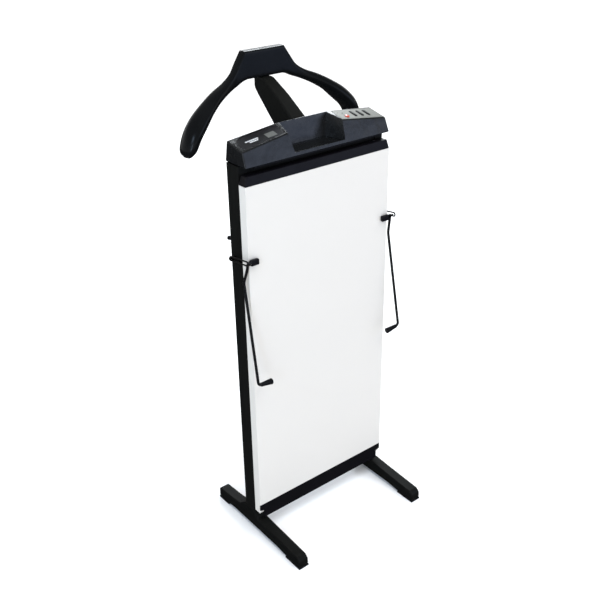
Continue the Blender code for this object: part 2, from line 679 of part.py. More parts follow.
# ---------------------------------------------------------------- door
def make_door():
    pivot = (0.0, *HINGE)
    outline = [(0.0, DOOR_TRIM_Z + GAP), (0.0, DOOR_TOP_Z), (DOOR_THICK, DOOR_TOP_Z),
               (DOOR_THICK, DOOR_FOOT_Z), (0.0038, DOOR_FOOT_Z), (0.0038, DOOR_TRIM_Z + GAP)]
    board = prism("door_board", outline, "x", -HALF_WIDTH, HALF_WIDTH, WHITE_BOARD, pivot)
    bevel(board, 0.0008, 2, 60)
    pad = box("door_pad", (-0.1660, DOOR_THICK + GAP, 0.1120), (0.1660, 0.0262, 0.8660), FABRIC, pivot)
    bevel(pad, 0.0012, 2)

    low, step = 0.0475, 0.0110
    outline = [(-HALF_WIDTH, DOOR_TRIM_Z), (HALF_WIDTH, DOOR_TRIM_Z), (HALF_WIDTH, 0.0715),
               (HALF_WIDTH - step, 0.0690), (HALF_WIDTH - step, low), (step - HALF_WIDTH, low),
               (step - HALF_WIDTH, 0.0690), (-HALF_WIDTH, 0.0715)]
    trim = prism("door_bottom_trim", outline, "y", 0.0, 0.0035, BLACK_PLASTIC, pivot)
    bevel(trim, 0.0006, 1)

    base, top = DOOR_TOP_Z + GAP, TRIM_TOP_Z
    end = HALF_WIDTH - 0.005
    rings = [[(-HALF_WIDTH, 0.0, base), (HALF_WIDTH, 0.0, base), (HALF_WIDTH, DOOR_THICK, base),
              (-HALF_WIDTH, DOOR_THICK, base)],
             [(-end, 0.0032, top), (end, 0.0032, top), (end, 0.0205, top), (-end, 0.0205, top)]]
    bevel(loft("door_top_trim", rings, BLACK_PLASTIC, pivot, smooth=False), 0.0014, 2)

    for label, side in SIDES:
        make_hinge(label, side, pivot)
        clip = side_box(f"handle_clip_{label}", side, (0.1690, 0.1893), (-0.0089, -GAP),
                        (0.7108, 0.7238), BLACK_PLASTIC, pivot)
        bevel(clip, 0.0022, 2)
        bore = rod(f"clip_bore_{label}", (side * 0.1725, *JOURNAL), (side * 0.1950, *JOURNAL),
                   WIRE_R + GAP, None, 16)
        cut(clip, bore)


def make_hinge(label, side, pivot):
    """One bottom hinge: lug on the door, bracket on the bottom rail, pin between them."""
    lug = side_box(f"door_lug_{label}", side, (0.1300, 0.1605), (0.0052, 0.0212),
                   (0.0592, DOOR_FOOT_Z - GAP), BLACK_STEEL, pivot)
    ear = side_box(f"lug_ear_{label}", side, (0.1577, 0.1605), (0.0060, 0.0190), (0.0480, 0.0610),
                   BLACK_STEEL, pivot)
    hole = rod(f"lug_hole_{label}", (side * 0.150, *HINGE), (side * 0.165, *HINGE), 0.0028, None, 16)
    cut(unite(lug, ear), hole)

    outline = [(0.0062, 0.0480), (0.0302, 0.0480), (0.0302, 0.0900), (0.0240, 0.0900),
               (0.0240, 0.0605), (0.0062, 0.0605)]
    x0, x1 = sorted((side * 0.1609, side * 0.1637))
    bracket = prism(f"hinge_bracket_{label}", outline, "x", x0, x1, BLACK_STEEL)
    flange = side_box(f"bracket_flange_{label}", side, (0.1390, 0.1620), (0.0277, 0.0302),
                      (0.0500, 0.0900), BLACK_STEEL)
    hole = rod(f"bracket_hole_{label}", (side * 0.155, *HINGE), (side * 0.170, *HINGE), 0.0028, None, 16)
    cut(unite(bracket, flange), hole)
    turned(f"hinge_pin_{label}", (side * 0.1562, *HINGE), (side, 0, 0),
           [(0.0, 0.0020), (0.0005, 0.0025), (0.0078, 0.0025), (0.0079, 0.0040), (0.0090, 0.0040)],
           BRIGHT_STEEL, 16)


# ---------------------------------------------------------------- handles and links
def make_handle(label, side):
    """Bent-wire handle: bearing in the clip, crank with its pin, cranked arm and grip."""
    pivot = (side * JOURNAL_X, *JOURNAL)
    bend = (side * 0.2038, -0.0355, 0.4485)
    tip = (side * 0.1705, -0.0335, 0.4440)
    corners = [(side * 0.1735, *JOURNAL), (side * JOURNAL_X, *JOURNAL),
               (side * (JOURNAL_X + 0.0003), -0.0024, 0.7050), (side * 0.2004, 0.0053, 0.6740),
               bend, tip]
    wire(f"handle_wire_{label}", fillet_path(corners, (0.0036, 0.02, 0.02, 0.0075)), WIRE_R, WIRE_STEEL, pivot)

    crank_x = (0.1903, 0.1919)
    outline = crank_outline(0.0047, 0.0036)
    x0, x1 = sorted((side * crank_x[0], side * crank_x[1]))
    crank = prism(f"crank_{label}", outline, "x", x0, x1, WIRE_STEEL, pivot)
    hole = rod(f"crank_hole_{label}", (side * 0.188, *JOURNAL), (side * 0.1945, *JOURNAL),
               WIRE_R + GAP, None, 16)
    pin = rod(f"crank_pin_{label}", (side * 0.1908, *CRANK),
              (side * (LINK_X - LINK_WIRE_R - GAP), *CRANK), 0.0022, WIRE_STEEL, 16)
    cut(unite(crank, pin), hole)

    along = Vector(tip) - Vector(bend)
    start = Vector(bend) + along.normalized() * 0.0065
    length = along.length - 0.0065 + 0.0030
    grip = turned(f"handle_grip_{label}", start, along,
                  [(0.0, 0.0040), (0.0008, 0.0045), (length * 0.45, 0.0050), (length * 0.8, 0.0062),
                   (length - 0.0010, 0.0069), (length, 0.0058)], BLACK_PLASTIC, 18, pivot)
    bore = rod(f"grip_bore_{label}", start - along.normalized() * 0.01,
               Vector(tip) + along.normalized() * 0.0004, WIRE_R + GAP, None, 16)
    cut(grip, bore)


def crank_outline(big, small, steps=8):
    """Side view of the crank plate: two round ends joined by straight sides."""
    direction = atan2(CRANK[1] - JOURNAL[1], CRANK[0] - JOURNAL[0])
    points = []
    for centre, radius, turn in ((CRANK, small, -pi / 2), (JOURNAL, big, pi / 2)):
        for k in range(steps + 1):
            angle = direction + turn + pi * k / steps
            points.append((centre[0] + radius * cos(angle), centre[1] + radius * sin(angle)))
    return points


def make_link(label, side):
    """Link loop of wire that joins the crank pin to the stud on the side channel."""
    x = side * LINK_X
    pivot = (x, *STUD)
    loop = [(x, y, z) for y, z in slot_outline(2 * LINK_HALF_GAP, STUD, CRANK, 8)]
    wire(f"link_loop_{label}", loop, LINK_WIRE_R, BRIGHT_STEEL, pivot, cyclic=True, resolution=2)
    base = 0.1855
    profile = [(0.1855, 0.0038), (0.1879, 0.0038), (0.1880, STUD_R), (0.1903, STUD_R),
               (0.1904, 0.0038), (0.1989, 0.0038), (0.1990, STUD_R), (0.2030, STUD_R),
               (0.2031, 0.0040), (0.2042, 0.0040), (0.2048, 0.0032)]
    turned(f"link_stud_{label}", (side * base, *STUD), (side, 0, 0),
           [(reach - base, radius) for reach, radius in profile], BRIGHT_STEEL, 18, pivot)


# ---------------------------------------------------------------- assembly
make_feet()
make_channels()
make_rails()
make_platen()
make_rear()
make_wiring()
make_console()
make_controls()
make_badge()
make_hanger_mount()
make_hanger()
make_door()
for SIDE_NAME, SIDE in SIDES:
    make_handle(SIDE_NAME, SIDE)
    make_link(SIDE_NAME, SIDE)
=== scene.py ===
"""Looks of the trouser press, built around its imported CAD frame.

Metres, +Z up, the white door faces -Y.  As in the CAD, every y below is measured from the door's
front face; OFFSET moves a piece into the frame, which is centred on the object's footprint.
"""
import random
import bpy
import bmesh
from math import atan2, copysign, cos, hypot, pi, radians, sin, tan
from mathutils import Matrix, Vector, noise


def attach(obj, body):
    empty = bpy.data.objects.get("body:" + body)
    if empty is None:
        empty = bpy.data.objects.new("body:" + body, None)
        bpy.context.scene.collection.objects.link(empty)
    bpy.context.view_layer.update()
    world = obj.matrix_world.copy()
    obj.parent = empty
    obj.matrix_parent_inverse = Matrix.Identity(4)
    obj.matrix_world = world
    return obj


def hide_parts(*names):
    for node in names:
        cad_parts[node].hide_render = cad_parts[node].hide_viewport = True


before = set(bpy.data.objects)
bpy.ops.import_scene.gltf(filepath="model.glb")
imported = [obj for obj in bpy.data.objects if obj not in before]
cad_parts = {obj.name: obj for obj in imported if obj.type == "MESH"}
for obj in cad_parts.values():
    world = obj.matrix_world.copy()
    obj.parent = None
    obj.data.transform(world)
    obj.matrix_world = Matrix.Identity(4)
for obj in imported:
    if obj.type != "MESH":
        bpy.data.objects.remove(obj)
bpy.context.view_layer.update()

# ---- dimensions
GAP = 0.0003                    # clearance between pieces
DEPTH_CENTRE = 0.03025
OFFSET = Vector((0.0, -DEPTH_CENTRE, 0.0))
SIDES = (("left", -1), ("right", 1))
HALF_WIDTH = 0.190              # of the frame and the door

FOOT_FRONT, FOOT_BACK = -0.148, 0.178
FOOT_OUTER, FOOT_WIDTH, FOOT_PAD_HEIGHT = 0.1915, 0.0257, 0.0045
DOOR_THICK, DOOR_FOOT_Z, DOOR_TRIM_Z = 0.0220, 0.0620, 0.0872
DOOR_TOP_Z, TRIM_TOP_Z = 0.8753, 0.8950
CHANNEL_FRONT, CHANNEL_BACK, CHANNEL_FLANGE, CHANNEL_WALL = 0.0230, 0.0624, 0.0220, 0.0016
CHANNEL_FOOT_Z, CHANNEL_TOP_Z = 0.0582, 0.9115
COVER_BACK, BRACKET_BACK = 0.0622, 0.0711
PEG_X, PEG_Z = 0.1840, 0.7455

CONSOLE_Z, CONSOLE_HALF, CONSOLE_END_TOP = 0.9120, 0.1875, 0.1857
WING_INNER, WING_FALL, WING_RISE = 0.0660, 0.1167, 0.2273
TRAY_FLOOR_Z, RECESS = 0.9172, 0.0012
TIMER_X, TIMER_Y = (0.1180, 0.1362, 0.1544), 0.0380
RED_KEY = (0.0936, 0.0290)
HANGER_TOP_Z, HANGER_FOOT, HANGER_Y, ARM_BACK = 1.0850, 1.0275, 0.1930, 0.2085

# (y, z) of the clamp's pivots, seen from the side
JOURNAL, CRANK, STUD = (-0.0043, 0.7174), (-0.0095, 0.7220), (0.0466, 0.7137)
STUD_OPEN = (STUD[0] - 0.01804, STUD[1] - 0.00471)
WIRE_R, LINK_WIRE_R, STUD_R = 0.0031, 0.0017, 0.0023
JOURNAL_X, CRANK_X, PIN_X, LINK_X = 0.1955, (0.1903, 0.1919), 0.1908, 0.2010
LINK_HALF_GAP, SLOT_R = 0.0043, STUD_R + 0.0004
STITCH = 0.0046                 # pitch of the pads' seams

CAMERA_PLACE = Vector((-1.0563, -1.2778, 1.4411)) + OFFSET
CAMERA_ANGLES = (-37.897, 27.724, -1.027)       # azimuth, elevation, roll in degrees
CAMERA_LENS = 50.98


# ---- material helpers
class Shader:
    """A node material being put together around one Principled shader."""

    def __init__(self, name, color, roughness, metallic=0.0, specular=0.5):
        self.mat = bpy.data.materials.new(name)
        self.mat.use_nodes = True
        self.nodes = self.mat.node_tree.nodes
        self.links = self.mat.node_tree.links
        self.main = self.nodes["Principled BSDF"]
        self.plain = color
        self.set("Base Color", (*color, 1.0))
        self.set("Roughness", roughness)
        self.set("Metallic", metallic)
        self.set("Specular IOR Level", specular)
        self.where = self.nodes.new("ShaderNodeTexCoord").outputs["Object"]
        self.height = None

    def set(self, socket, value):
        self.main.inputs[socket].default_value = value

    def stretched(self, scale):
        mapping = self.nodes.new("ShaderNodeMapping")
        mapping.inputs["Scale"].default_value = scale
        self.links.new(self.where, mapping.inputs["Vector"])
        return mapping.outputs["Vector"]

    def texture(self, kind, stretch, **inputs):
        node = self.nodes.new(f"ShaderNodeTex{kind}")
        for socket, value in inputs.items():
            node.inputs[socket].default_value = value
        self.links.new(self.stretched(stretch) if stretch else self.where, node.inputs["Vector"])
        return node

    def noise(self, scale, detail=3.0, rough=0.5, stretch=None):
        node = self.texture("Noise", stretch, Scale=scale, Detail=detail, Roughness=rough)
        return node.outputs["Fac"]

    def cells(self, scale, feature="F1", stretch=None):
        node = self.texture("Voronoi", stretch, Scale=scale)
        node.feature = feature
        return node.outputs["Distance"]

    def wave(self, scale, axis, distortion):
        node = self.texture("Wave", None, Scale=scale, Distortion=distortion)
        node.bands_direction = axis
        return node.outputs["Fac"]

    def math(self, operation, a, b):
        node = self.nodes.new("ShaderNodeMath")
        node.operation = operation
        for socket, value in zip(node.inputs, (a, b)):
            if isinstance(value, float):
                socket.default_value = value
            else:
                self.links.new(value, socket)
        return node.outputs["Value"]

    def color(self, source, *stops):
        """Base colour from a source; a stop is a place and a change from the plain colour."""
        node = self.nodes.new("ShaderNodeValToRGB")
        fill_ramp(node.color_ramp, [(place, tint(self.plain, change)) for place, change in stops])
        self.links.new(source, node.inputs["Fac"])
        self.links.new(node.outputs["Color"], self.main.inputs["Base Color"])

    def roughness(self, source, low, high):
        node = self.nodes.new("ShaderNodeMapRange")
        node.inputs["To Min"].default_value = low
        node.inputs["To Max"].default_value = high
        self.links.new(source, node.inputs["Value"])
        self.links.new(node.outputs["Result"], self.main.inputs["Roughness"])

    def bump(self, source, strength, distance):
        node = self.nodes.new("ShaderNodeBump")
        node.inputs["Strength"].default_value = strength
        node.inputs["Distance"].default_value = distance
        self.links.new(source, node.inputs["Height"])
        if self.height is not None:
            self.links.new(self.height, node.inputs["Normal"])
        self.height = node.outputs["Normal"]
        self.links.new(self.height, self.main.inputs["Normal"])


def tint(color, amount):
    return tuple(c * (1 + amount) for c in color)


def fill_ramp(ramp, stops):
    while len(ramp.elements) < len(stops):
        ramp.elements.new(0.5)
    for element, (place, color) in zip(ramp.elements, stops):
        element.position = place
        element.color = (*color, 1.0)


def moulded(name, color, rough, grain=1500.0, strength=0.25, specular=0.35,
             ripple=(9.0, 0.10, 0.0006)):
    """Injection-moulded plastic: a fine spark-eroded grain, uneven gloss and a slow ripple."""
    s = Shader(name, color, rough, specular=specular)
    cloud = s.noise(14.0, 4.0, 0.6)
    s.color(cloud, (0.30, -0.18), (0.72, 0.20))
    s.roughness(s.noise(55.0, 5.0, 0.65), rough - 0.08, rough + 0.09)
    ripple_scale, ripple_strength, ripple_height = ripple
    s.bump(s.noise(ripple_scale, 2.0), ripple_strength, ripple_height)
    s.bump(s.cells(grain), strength, 0.00012)
    return s.mat


def powder_coat(name, color, rough, specular=0.30):
    """Powder-coated sheet steel: orange-peel skin with faint rub marks along its length."""
    s = Shader(name, color, rough, specular=specular)
    streak = s.noise(6.0, 6.0, 0.7, (14.0, 14.0, 1.0))
    s.color(streak, (0.35, -0.15), (0.75, 0.35))
    s.roughness(streak, rough - 0.10, rough + 0.10)
    s.bump(s.noise(520.0, 2.0), 0.22, 0.00015)
    return s.mat


def laminate():
    """White laminate: almost mirror-smooth, with the slow ripple of a pressed sheet."""
    s = Shader("white_laminate", (0.654, 0.629, 0.588), 0.16, specular=0.50)
    s.color(s.noise(3.0, 3.0), (0.30, -0.010), (0.75, 0.008))
    s.roughness(s.noise(24.0, 4.0), 0.13, 0.20)
    s.bump(s.noise(11.0, 2.0), 0.05, 0.0008)
    s.bump(s.noise(900.0, 1.0), 0.03, 0.00005)
    s.set("Coat Weight", 0.15)
    s.set("Coat Roughness", 0.08)
    return s.mat


def plated(name, color, rough, stretch=(1.0, 1.0, 1.0)):
    """Zinc-plated or rolled metal: fine drawn lines and a mottled passivated sheen."""
    s = Shader(name, color, rough, metallic=1.0)
    s.color(s.noise(60.0, 4.0), (0.30, -0.22), (0.75, 0.12))
    lines = s.noise(420.0, 3.0, 0.6, stretch)
    s.roughness(lines, rough - 0.08, rough + 0.14)
    s.bump(lines, 0.12, 0.00008)
    return s.mat


def coated_wire():
    """Thick semi-gloss coating on bent wire, with small dips where it gathered while wet."""
    s = Shader("coated_wire", (0.0050, 0.0050, 0.0055), 0.26, specular=0.30)
    s.color(s.noise(70.0, 3.0), (0.3, -0.2), (0.7, 0.4))
    s.roughness(s.noise(160.0, 3.0), 0.20, 0.38)
    s.bump(s.noise(260.0, 2.0), 0.18, 0.00025)
    return s.mat


def rubber():
    s = Shader("moulded_rubber", (0.0075, 0.0075, 0.0080), 0.85, specular=0.10)
    s.color(s.noise(120.0, 5.0, 0.7), (0.3, -0.25), (0.75, 0.9))
    s.roughness(s.noise(300.0), 0.72, 0.95)
    s.bump(s.cells(900.0), 0.35, 0.0002)
    return s.mat


def pressing_cloth():
    """Plain-woven pressing cloth: two crossing sets of yarns with slubs and a soft sheen."""
    s = Shader("pressing_cloth", (0.125, 0.120, 0.130), 0.92, specular=0.15)
    across = s.wave(190.0, "X", 0.6)
    along = s.wave(190.0, "Z", 0.6)
    weave = s.math("MULTIPLY", across, along)
    slub = s.noise(30.0, 5.0, 0.7, (1.0, 1.0, 9.0))
    mixed = s.math("ADD", s.math("MULTIPLY", weave, 0.55), s.math("MULTIPLY", slub, 0.45))
    s.color(mixed, (0.15, -0.45), (0.50, 0.0), (0.85, 0.55))
    s.bump(weave, 0.55, 0.0005)
    s.bump(slub, 0.20, 0.0004)
    s.set("Sheen Weight", 0.25)
    s.set("Sheen Roughness", 0.5)
    return s.mat


def hardboard():
    s = Shader("pressed_hardboard", (0.235, 0.140, 0.075), 0.85, specular=0.2)
    fibre = s.noise(160.0, 8.0, 0.75, (1.0, 1.0, 0.35))
    s.color(fibre, (0.25, -0.45), (0.55, 0.0), (0.8, 0.5))
    s.bump(fibre, 0.4, 0.0004)
    return s.mat


def silver_paint():
    """Metallic paint on the control panel: fine flakes in a satin film."""
    s = Shader("silver_paint", (0.188, 0.190, 0.172), 0.42, metallic=0.35, specular=0.4)
    flake = s.cells(2600.0)
    s.color(flake, (0.10, 0.25), (0.60, -0.14))
    s.roughness(s.noise(90.0, 3.0), 0.36, 0.50)
    s.bump(flake, 0.08, 0.00005)
    return s.mat


def tinted_lens(name, color):
    """Glossy transparent-looking moulding with a fine sunk dot pattern."""
    s = Shader(name, color, 0.16, specular=0.55)
    s.color(s.noise(300.0, 2.0), (0.3, -0.25), (0.7, 0.12))
    s.roughness(s.noise(220.0), 0.12, 0.24)
    s.bump(s.cells(1100.0), 0.10, 0.0001)
    s.set("Coat Weight", 0.3)
    return s.mat


def circuit_lacquer():
    s = Shader("circuit_lacquer", (0.012, 0.125, 0.052), 0.35)
    tracks = s.cells(190.0, "DISTANCE_TO_EDGE", (1.0, 0.4, 1.0))
    s.color(tracks, (0.02, 0.9), (0.06, 0.0), (0.5, -0.3))
    s.bump(tracks, 0.25, 0.0001)
    return s.mat


def printed(name, color):
    """Screen-printed or foil label: thin ink film with slightly uneven cover."""
    s = Shader(name, color, 0.45, specular=0.4)
    s.color(s.noise(420.0, 3.0), (0.25, -0.14), (0.7, 0.05))
    s.roughness(s.noise(240.0), 0.38, 0.55)
    s.bump(s.noise(1500.0), 0.08, 0.00004)
    return s.mat


PLASTIC = moulded("black_moulding", (0.0056, 0.0061, 0.0066), 0.25, specular=0.36,
                  ripple=(24.0, 0.60, 0.0030))
GLOSS_PLASTIC = moulded("hanger_moulding", (0.0040, 0.0044, 0.0048), 0.21, 1900.0, 0.12, 0.09)
TRIM_PLASTIC = moulded("trim_moulding", (0.0042, 0.0038, 0.0052), 0.42, 1300.0, 0.25, 0.12)
FOOT_PLASTIC = moulded("foot_moulding", (0.0048, 0.0050, 0.0046), 0.46, 1000.0, 0.35, 0.08)
KEY_PLASTIC = moulded("key_moulding", (0.0040, 0.0040, 0.0044), 0.36, 2400.0, 0.10, 0.10)
ARM_PLASTIC = moulded("arm_moulding", (0.0048, 0.0050, 0.0044), 0.34, specular=0.16)
STEEL = powder_coat("powder_coat", (0.0052, 0.0054, 0.0048), 0.50, 0.10)
LAMINATE = laminate()
WIRE = coated_wire()
ZINC = plated("zinc_plate", (0.42, 0.42, 0.43), 0.34)
LINK_STEEL = plated("blackened_steel", (0.030, 0.030, 0.031), 0.26)
ALUMINIUM = plated("rolled_aluminium", (0.66, 0.67, 0.68), 0.32, (1.0, 1.0, 0.03))
HEATER = plated("heater_foil", (0.50, 0.48, 0.45), 0.40, (0.05, 1.0, 1.0))
RUBBER = rubber()
CLOTH = pressing_cloth()
BOARD = hardboard()
SILVER = silver_paint()
RED = tinted_lens("red_lens", (0.62, 0.085, 0.055))
DARK_LENS = tinted_lens("smoked_lens", (0.035, 0.030, 0.032))
LACQUER = circuit_lacquer()
NYLON = moulded("cream_nylon", (0.62, 0.59, 0.50), 0.45, 900.0, 0.2, 0.4)
GREY_PRINT = printed("grey_print", (0.082, 0.086, 0.080))
LIGHT_PRINT = printed("light_print", (0.62, 0.64, 0.66))
DARK_PRINT = printed("dark_print", (0.030, 0.030, 0.032))
LIGHT_THREAD = moulded("seam_thread", (0.22, 0.21, 0.22), 0.8, 900.0, 0.2, 0.2)


# ---- modelling helpers
def linked(name, data):
    obj = bpy.data.objects.new(name, data)
    bpy.context.collection.objects.link(obj)
    return obj


def placed(name, mesh):
    obj = linked(name, mesh)
    obj.location = OFFSET
    bpy.context.view_layer.update()
    return obj


def add(name, mesh, mat, nodes=(), body="root"):
    """Makes a mesh one piece of a body, gives it its material and hides the CAD nodes it stands
    for.
    """
    mesh.materials.append(mat)
    obj = placed(name, mesh)
    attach(obj, body)
    if nodes:
        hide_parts(*nodes)
    return obj


def mesh_from(verts, faces, smooth=True, sharp=35):
    bm = bmesh.new()
    points = [bm.verts.new(v) for v in verts]
    for face in faces:
        bm.faces.new([points[i] for i in face])
    bmesh.ops.recalc_face_normals(bm, faces=bm.faces)
    mesh = bpy.data.meshes.new("shape")
    bm.to_mesh(mesh)
    bm.free()
    if smooth:
        mesh.shade_smooth()
        mesh.set_sharp_from_angle(angle=radians(sharp))
    return mesh


def prism_data(outline, axis, low, high):
    def point(pair, level):
        a, b = pair
        return {"x": (level, a, b), "y": (a, level, b), "z": (a, b, level)}[axis]
    count = len(outline)
    verts = [point(p, level) for level in (low, high) for p in outline]
    faces = [list(range(count))[::-1], list(range(count, 2 * count))]
    faces += [[i, (i + 1) % count, (i + 1) % count + count, i + count] for i in range(count)]
    return verts, faces


def prism_mesh(outline, axis, low, high):
    return mesh_from(*prism_data(outline, axis, low, high), smooth=False)


def box_mesh(low, high):
    outline = [(low[0], low[1]), (high[0], low[1]), (high[0], high[1]), (low[0], high[1])]
    return prism_mesh(outline, "z", low[2], high[2])


def side_box_mesh(side, x_range, y_range, z_range):
    x0, x1 = sorted((side * x_range[0], side * x_range[1]))
    return box_mesh((x0, y_range[0], z_range[0]), (x1, y_range[1], z_range[1]))


def ring_data(rings, closed=False):
    count = len(rings[0])
    verts = [p for ring in rings for p in ring]
    spans = len(rings) if closed else len(rings) - 1
    faces = []
    for k in range(spans):
        base, after = k * count, (k + 1) % len(rings) * count
        for i in range(count):
            j = (i + 1) % count
            faces.append([base + i, base + j, after + j, after + i])
    if not closed:
        last = (len(rings) - 1) * count
        faces += [list(range(count))[::-1], [last + i for i in range(count)]]
    return verts, faces


def turned_mesh(start, direction, profile, segments=32):
    """A profile of (distance, radius) pairs turned round an axis."""
    axis = Vector(direction).normalized()
    across = axis.orthogonal().normalized()
    other = axis.cross(across)
    rings = []
    for distance, radius in profile:
        centre = Vector(start) + axis * distance
        rings.append([centre + (across * cos(a) + other * sin(a)) * radius
                      for a in (2 * pi * i / segments for i in range(segments))])
    return mesh_from(*ring_data(rings))


def cutter(mesh):
    """A boolean tool: not part of the object and never shown."""
    obj = placed("cutter", mesh)
    obj.hide_render = True
    obj.display_type = "WIRE"
    return obj


def six_sided_cutter(bottom, top):
    verts = list(bottom) + list(top)
    faces = [(3, 2, 1, 0), (4, 5, 6, 7)]
    faces += [(i, (i + 1) % 4, (i + 1) % 4 + 4, i + 4) for i in range(4)]
    return cutter(mesh_from(verts, faces, False))


def finished(obj, width=0.0, segments=3, angle=30, cuts=(), joins=(), edge=0.0):
    """Rounds the edges, makes the cuts, applies it all and removes the tools."""
    if width:
        soften(obj, width, segments, angle)
    for operation, tools in (("UNION", joins), ("DIFFERENCE", cuts)):
        for tool in tools:
            mod = obj.modifiers.new(operation.title(), "BOOLEAN")
            mod.operation = operation
            mod.solver = "EXACT"
            mod.object = tool
    if edge:
        soften(obj, edge, 2, 35)
    depsgraph = bpy.context.evaluated_depsgraph_get()
    mesh = bpy.data.meshes.new_from_object(obj.evaluated_get(depsgraph))
    obj.modifiers.clear()
    obj.data = mesh
    for tool in (*joins, *cuts):
        bpy.data.objects.remove(tool, do_unlink=True)
    mesh.shade_smooth()
    mesh.set_sharp_from_angle(angle=radians(32))
    normal = obj.modifiers.new("Weighted normals", "WEIGHTED_NORMAL")
    normal.keep_sharp = True
    return obj


def soften(obj, width, segments, angle):
    mod = obj.modifiers.new("Edge rounding", "BEVEL")
    mod.width = width
    mod.segments = segments
    mod.limit_method = "ANGLE"
    mod.angle_limit = radians(angle)
    mod.use_clamp_overlap = True


def fillet_path(corners, radii, steps=8):
    points = [Vector(corners[0])]
    for before, corner, after, radius in zip(corners, corners[1:], corners[2:], radii):
        corner = Vector(corner)
        into = (Vector(before) - corner).normalized()
        out = (Vector(after) - corner).normalized()
        half = into.angle(out) / 2
        reach = radius / max(0.05, tan(half)) if half < pi / 2 - 0.01 else 0.0
        limit = 0.48 * min((Vector(before) - corner).length, (Vector(after) - corner).length)
        reach = min(reach, limit)
        if reach < 1e-6:
            points.append(corner)
            continue
        centre = corner + (into + out).normalized() * (reach / cos(half))
        first = corner + into * reach - centre
        second = corner + out * reach - centre
        turn = first.angle(second)
        for k in range(steps + 1):
            share = turn * k / steps
            points.append(centre + (first * sin(turn - share) + second * sin(share)) / sin(turn))
    points.append(Vector(corners[-1]))
    return points


def tube_data(points, radius, segments, closed=False):
    """Round wire along a polyline, with a frame carried along it."""
    points = [Vector(p) for p in points]
    count = len(points)
    tangents = []
    for i, point in enumerate(points):
        before = points[i - 1] if i or closed else point
        after = points[(i + 1) % count] if i < count - 1 or closed else point
        tangents.append((after - before).normalized())
    across = tangents[0].orthogonal().normalized()
    rings = []
    for point, tangent in zip(points, tangents):
        across = (across - tangent * across.dot(tangent)).normalized()
        other = tangent.cross(across)
        rings.append([point + (across * cos(a) + other * sin(a)) * radius
                      for a in (2 * pi * i / segments for i in range(segments))])
    return ring_data(rings, closed)


def capsule_outline(start, end, start_radius, end_radius, steps):
    """Two half circles joined by straight sides."""
    direction = atan2(end[1] - start[1], end[0] - start[0])
    points = []
    for centre, radius, turn in ((end, end_radius, -pi / 2), (start, start_radius, pi / 2)):
        for k in range(steps + 1):
            angle = direction + turn + pi * k / steps
            points.append((centre[0] + radius * cos(angle), centre[1] + radius * sin(angle)))
    return points


def joined(parts):
    """Vertices and faces of several solids as one list."""
    verts, faces = [], []
    for part_verts, part_faces in parts:
        base = len(verts)
        verts += list(part_verts)
        faces += [[base + i for i in face] for face in part_faces]
    return verts, faces


# ---- feet and frame
def foot_outline():
    arch = 0.0078
    return [(FOOT_FRONT + 0.002, FOOT_PAD_HEIGHT), (-0.094, FOOT_PAD_HEIGHT), (-0.062, arch),
            (0.112, arch), (0.136, FOOT_PAD_HEIGHT), (FOOT_BACK - 0.002, FOOT_PAD_HEIGHT),
            (FOOT_BACK, 0.010), (FOOT_BACK, 0.026), (FOOT_BACK - 0.004, 0.030),
            (0.120, 0.0345), (0.090, 0.0385), (0.0655, 0.0579),
            (0.0225, 0.0579), (0.0130, 0.0400), (-0.030, 0.0365),
            (-0.138, 0.0300), (FOOT_FRONT + 0.0015, 0.0225), (FOOT_FRONT, 0.0100)]


def make_feet():
    tongue_y = (CHANNEL_FRONT + 0.0024, CHANNEL_BACK - 0.0024)
    for label, side in SIDES:
        low, high = sorted((side * FOOT_OUTER, side * (FOOT_OUTER - FOOT_WIDTH)))
        foot = add(f"foot_body_{label}", prism_mesh(foot_outline(), "x", low, high),
                   FOOT_PLASTIC, [f"foot_{label}"])
        tongue = cutter(side_box_mesh(side, (0.1700, 0.1866), tongue_y, (0.0500, 0.0840)))
        finished(foot, 0.0024, 4, 30, joins=[tongue])
        for place, front, back in (("front", FOOT_FRONT, -0.0955), ("rear", 0.1375, FOOT_BACK)):
            make_foot_pad(f"{place}_pad", label, front, back, low - 0.0006, high + 0.0006)


def make_foot_pad(name, label, front, back, low, high):
    """Rubber pad with rounded edges and a tread of shallow cross grooves underneath."""
    outline = [(front + 0.0008, 0.0)]
    y = front + 0.004
    while y < back - 0.004:
        outline += [(y, 0.0), (y + 0.0003, 0.0008), (y + 0.0011, 0.0008), (y + 0.0014, 0.0)]
        y += 0.0042
    outline += [(back - 0.0008, 0.0), (back, 0.0008), (back, FOOT_PAD_HEIGHT - GAP),
                (front, FOOT_PAD_HEIGHT - GAP), (front, 0.0008)]
    mesh = prism_mesh(outline, "x", low, high)
    pad = add(f"{name}_tread_{label}", mesh, RUBBER, [f"{name}_{label}"])
    finished(pad, 0.0003, 2, 50)


def corner_arc(centre, radius, start, steps=5):
    """Quarter circle from the start angle, counter-clockwise."""
    return [(centre[0] + radius * cos(start + pi / 2 * k / steps),
             centre[1] + radius * sin(start + pi / 2 * k / steps)) for k in range(steps + 1)]


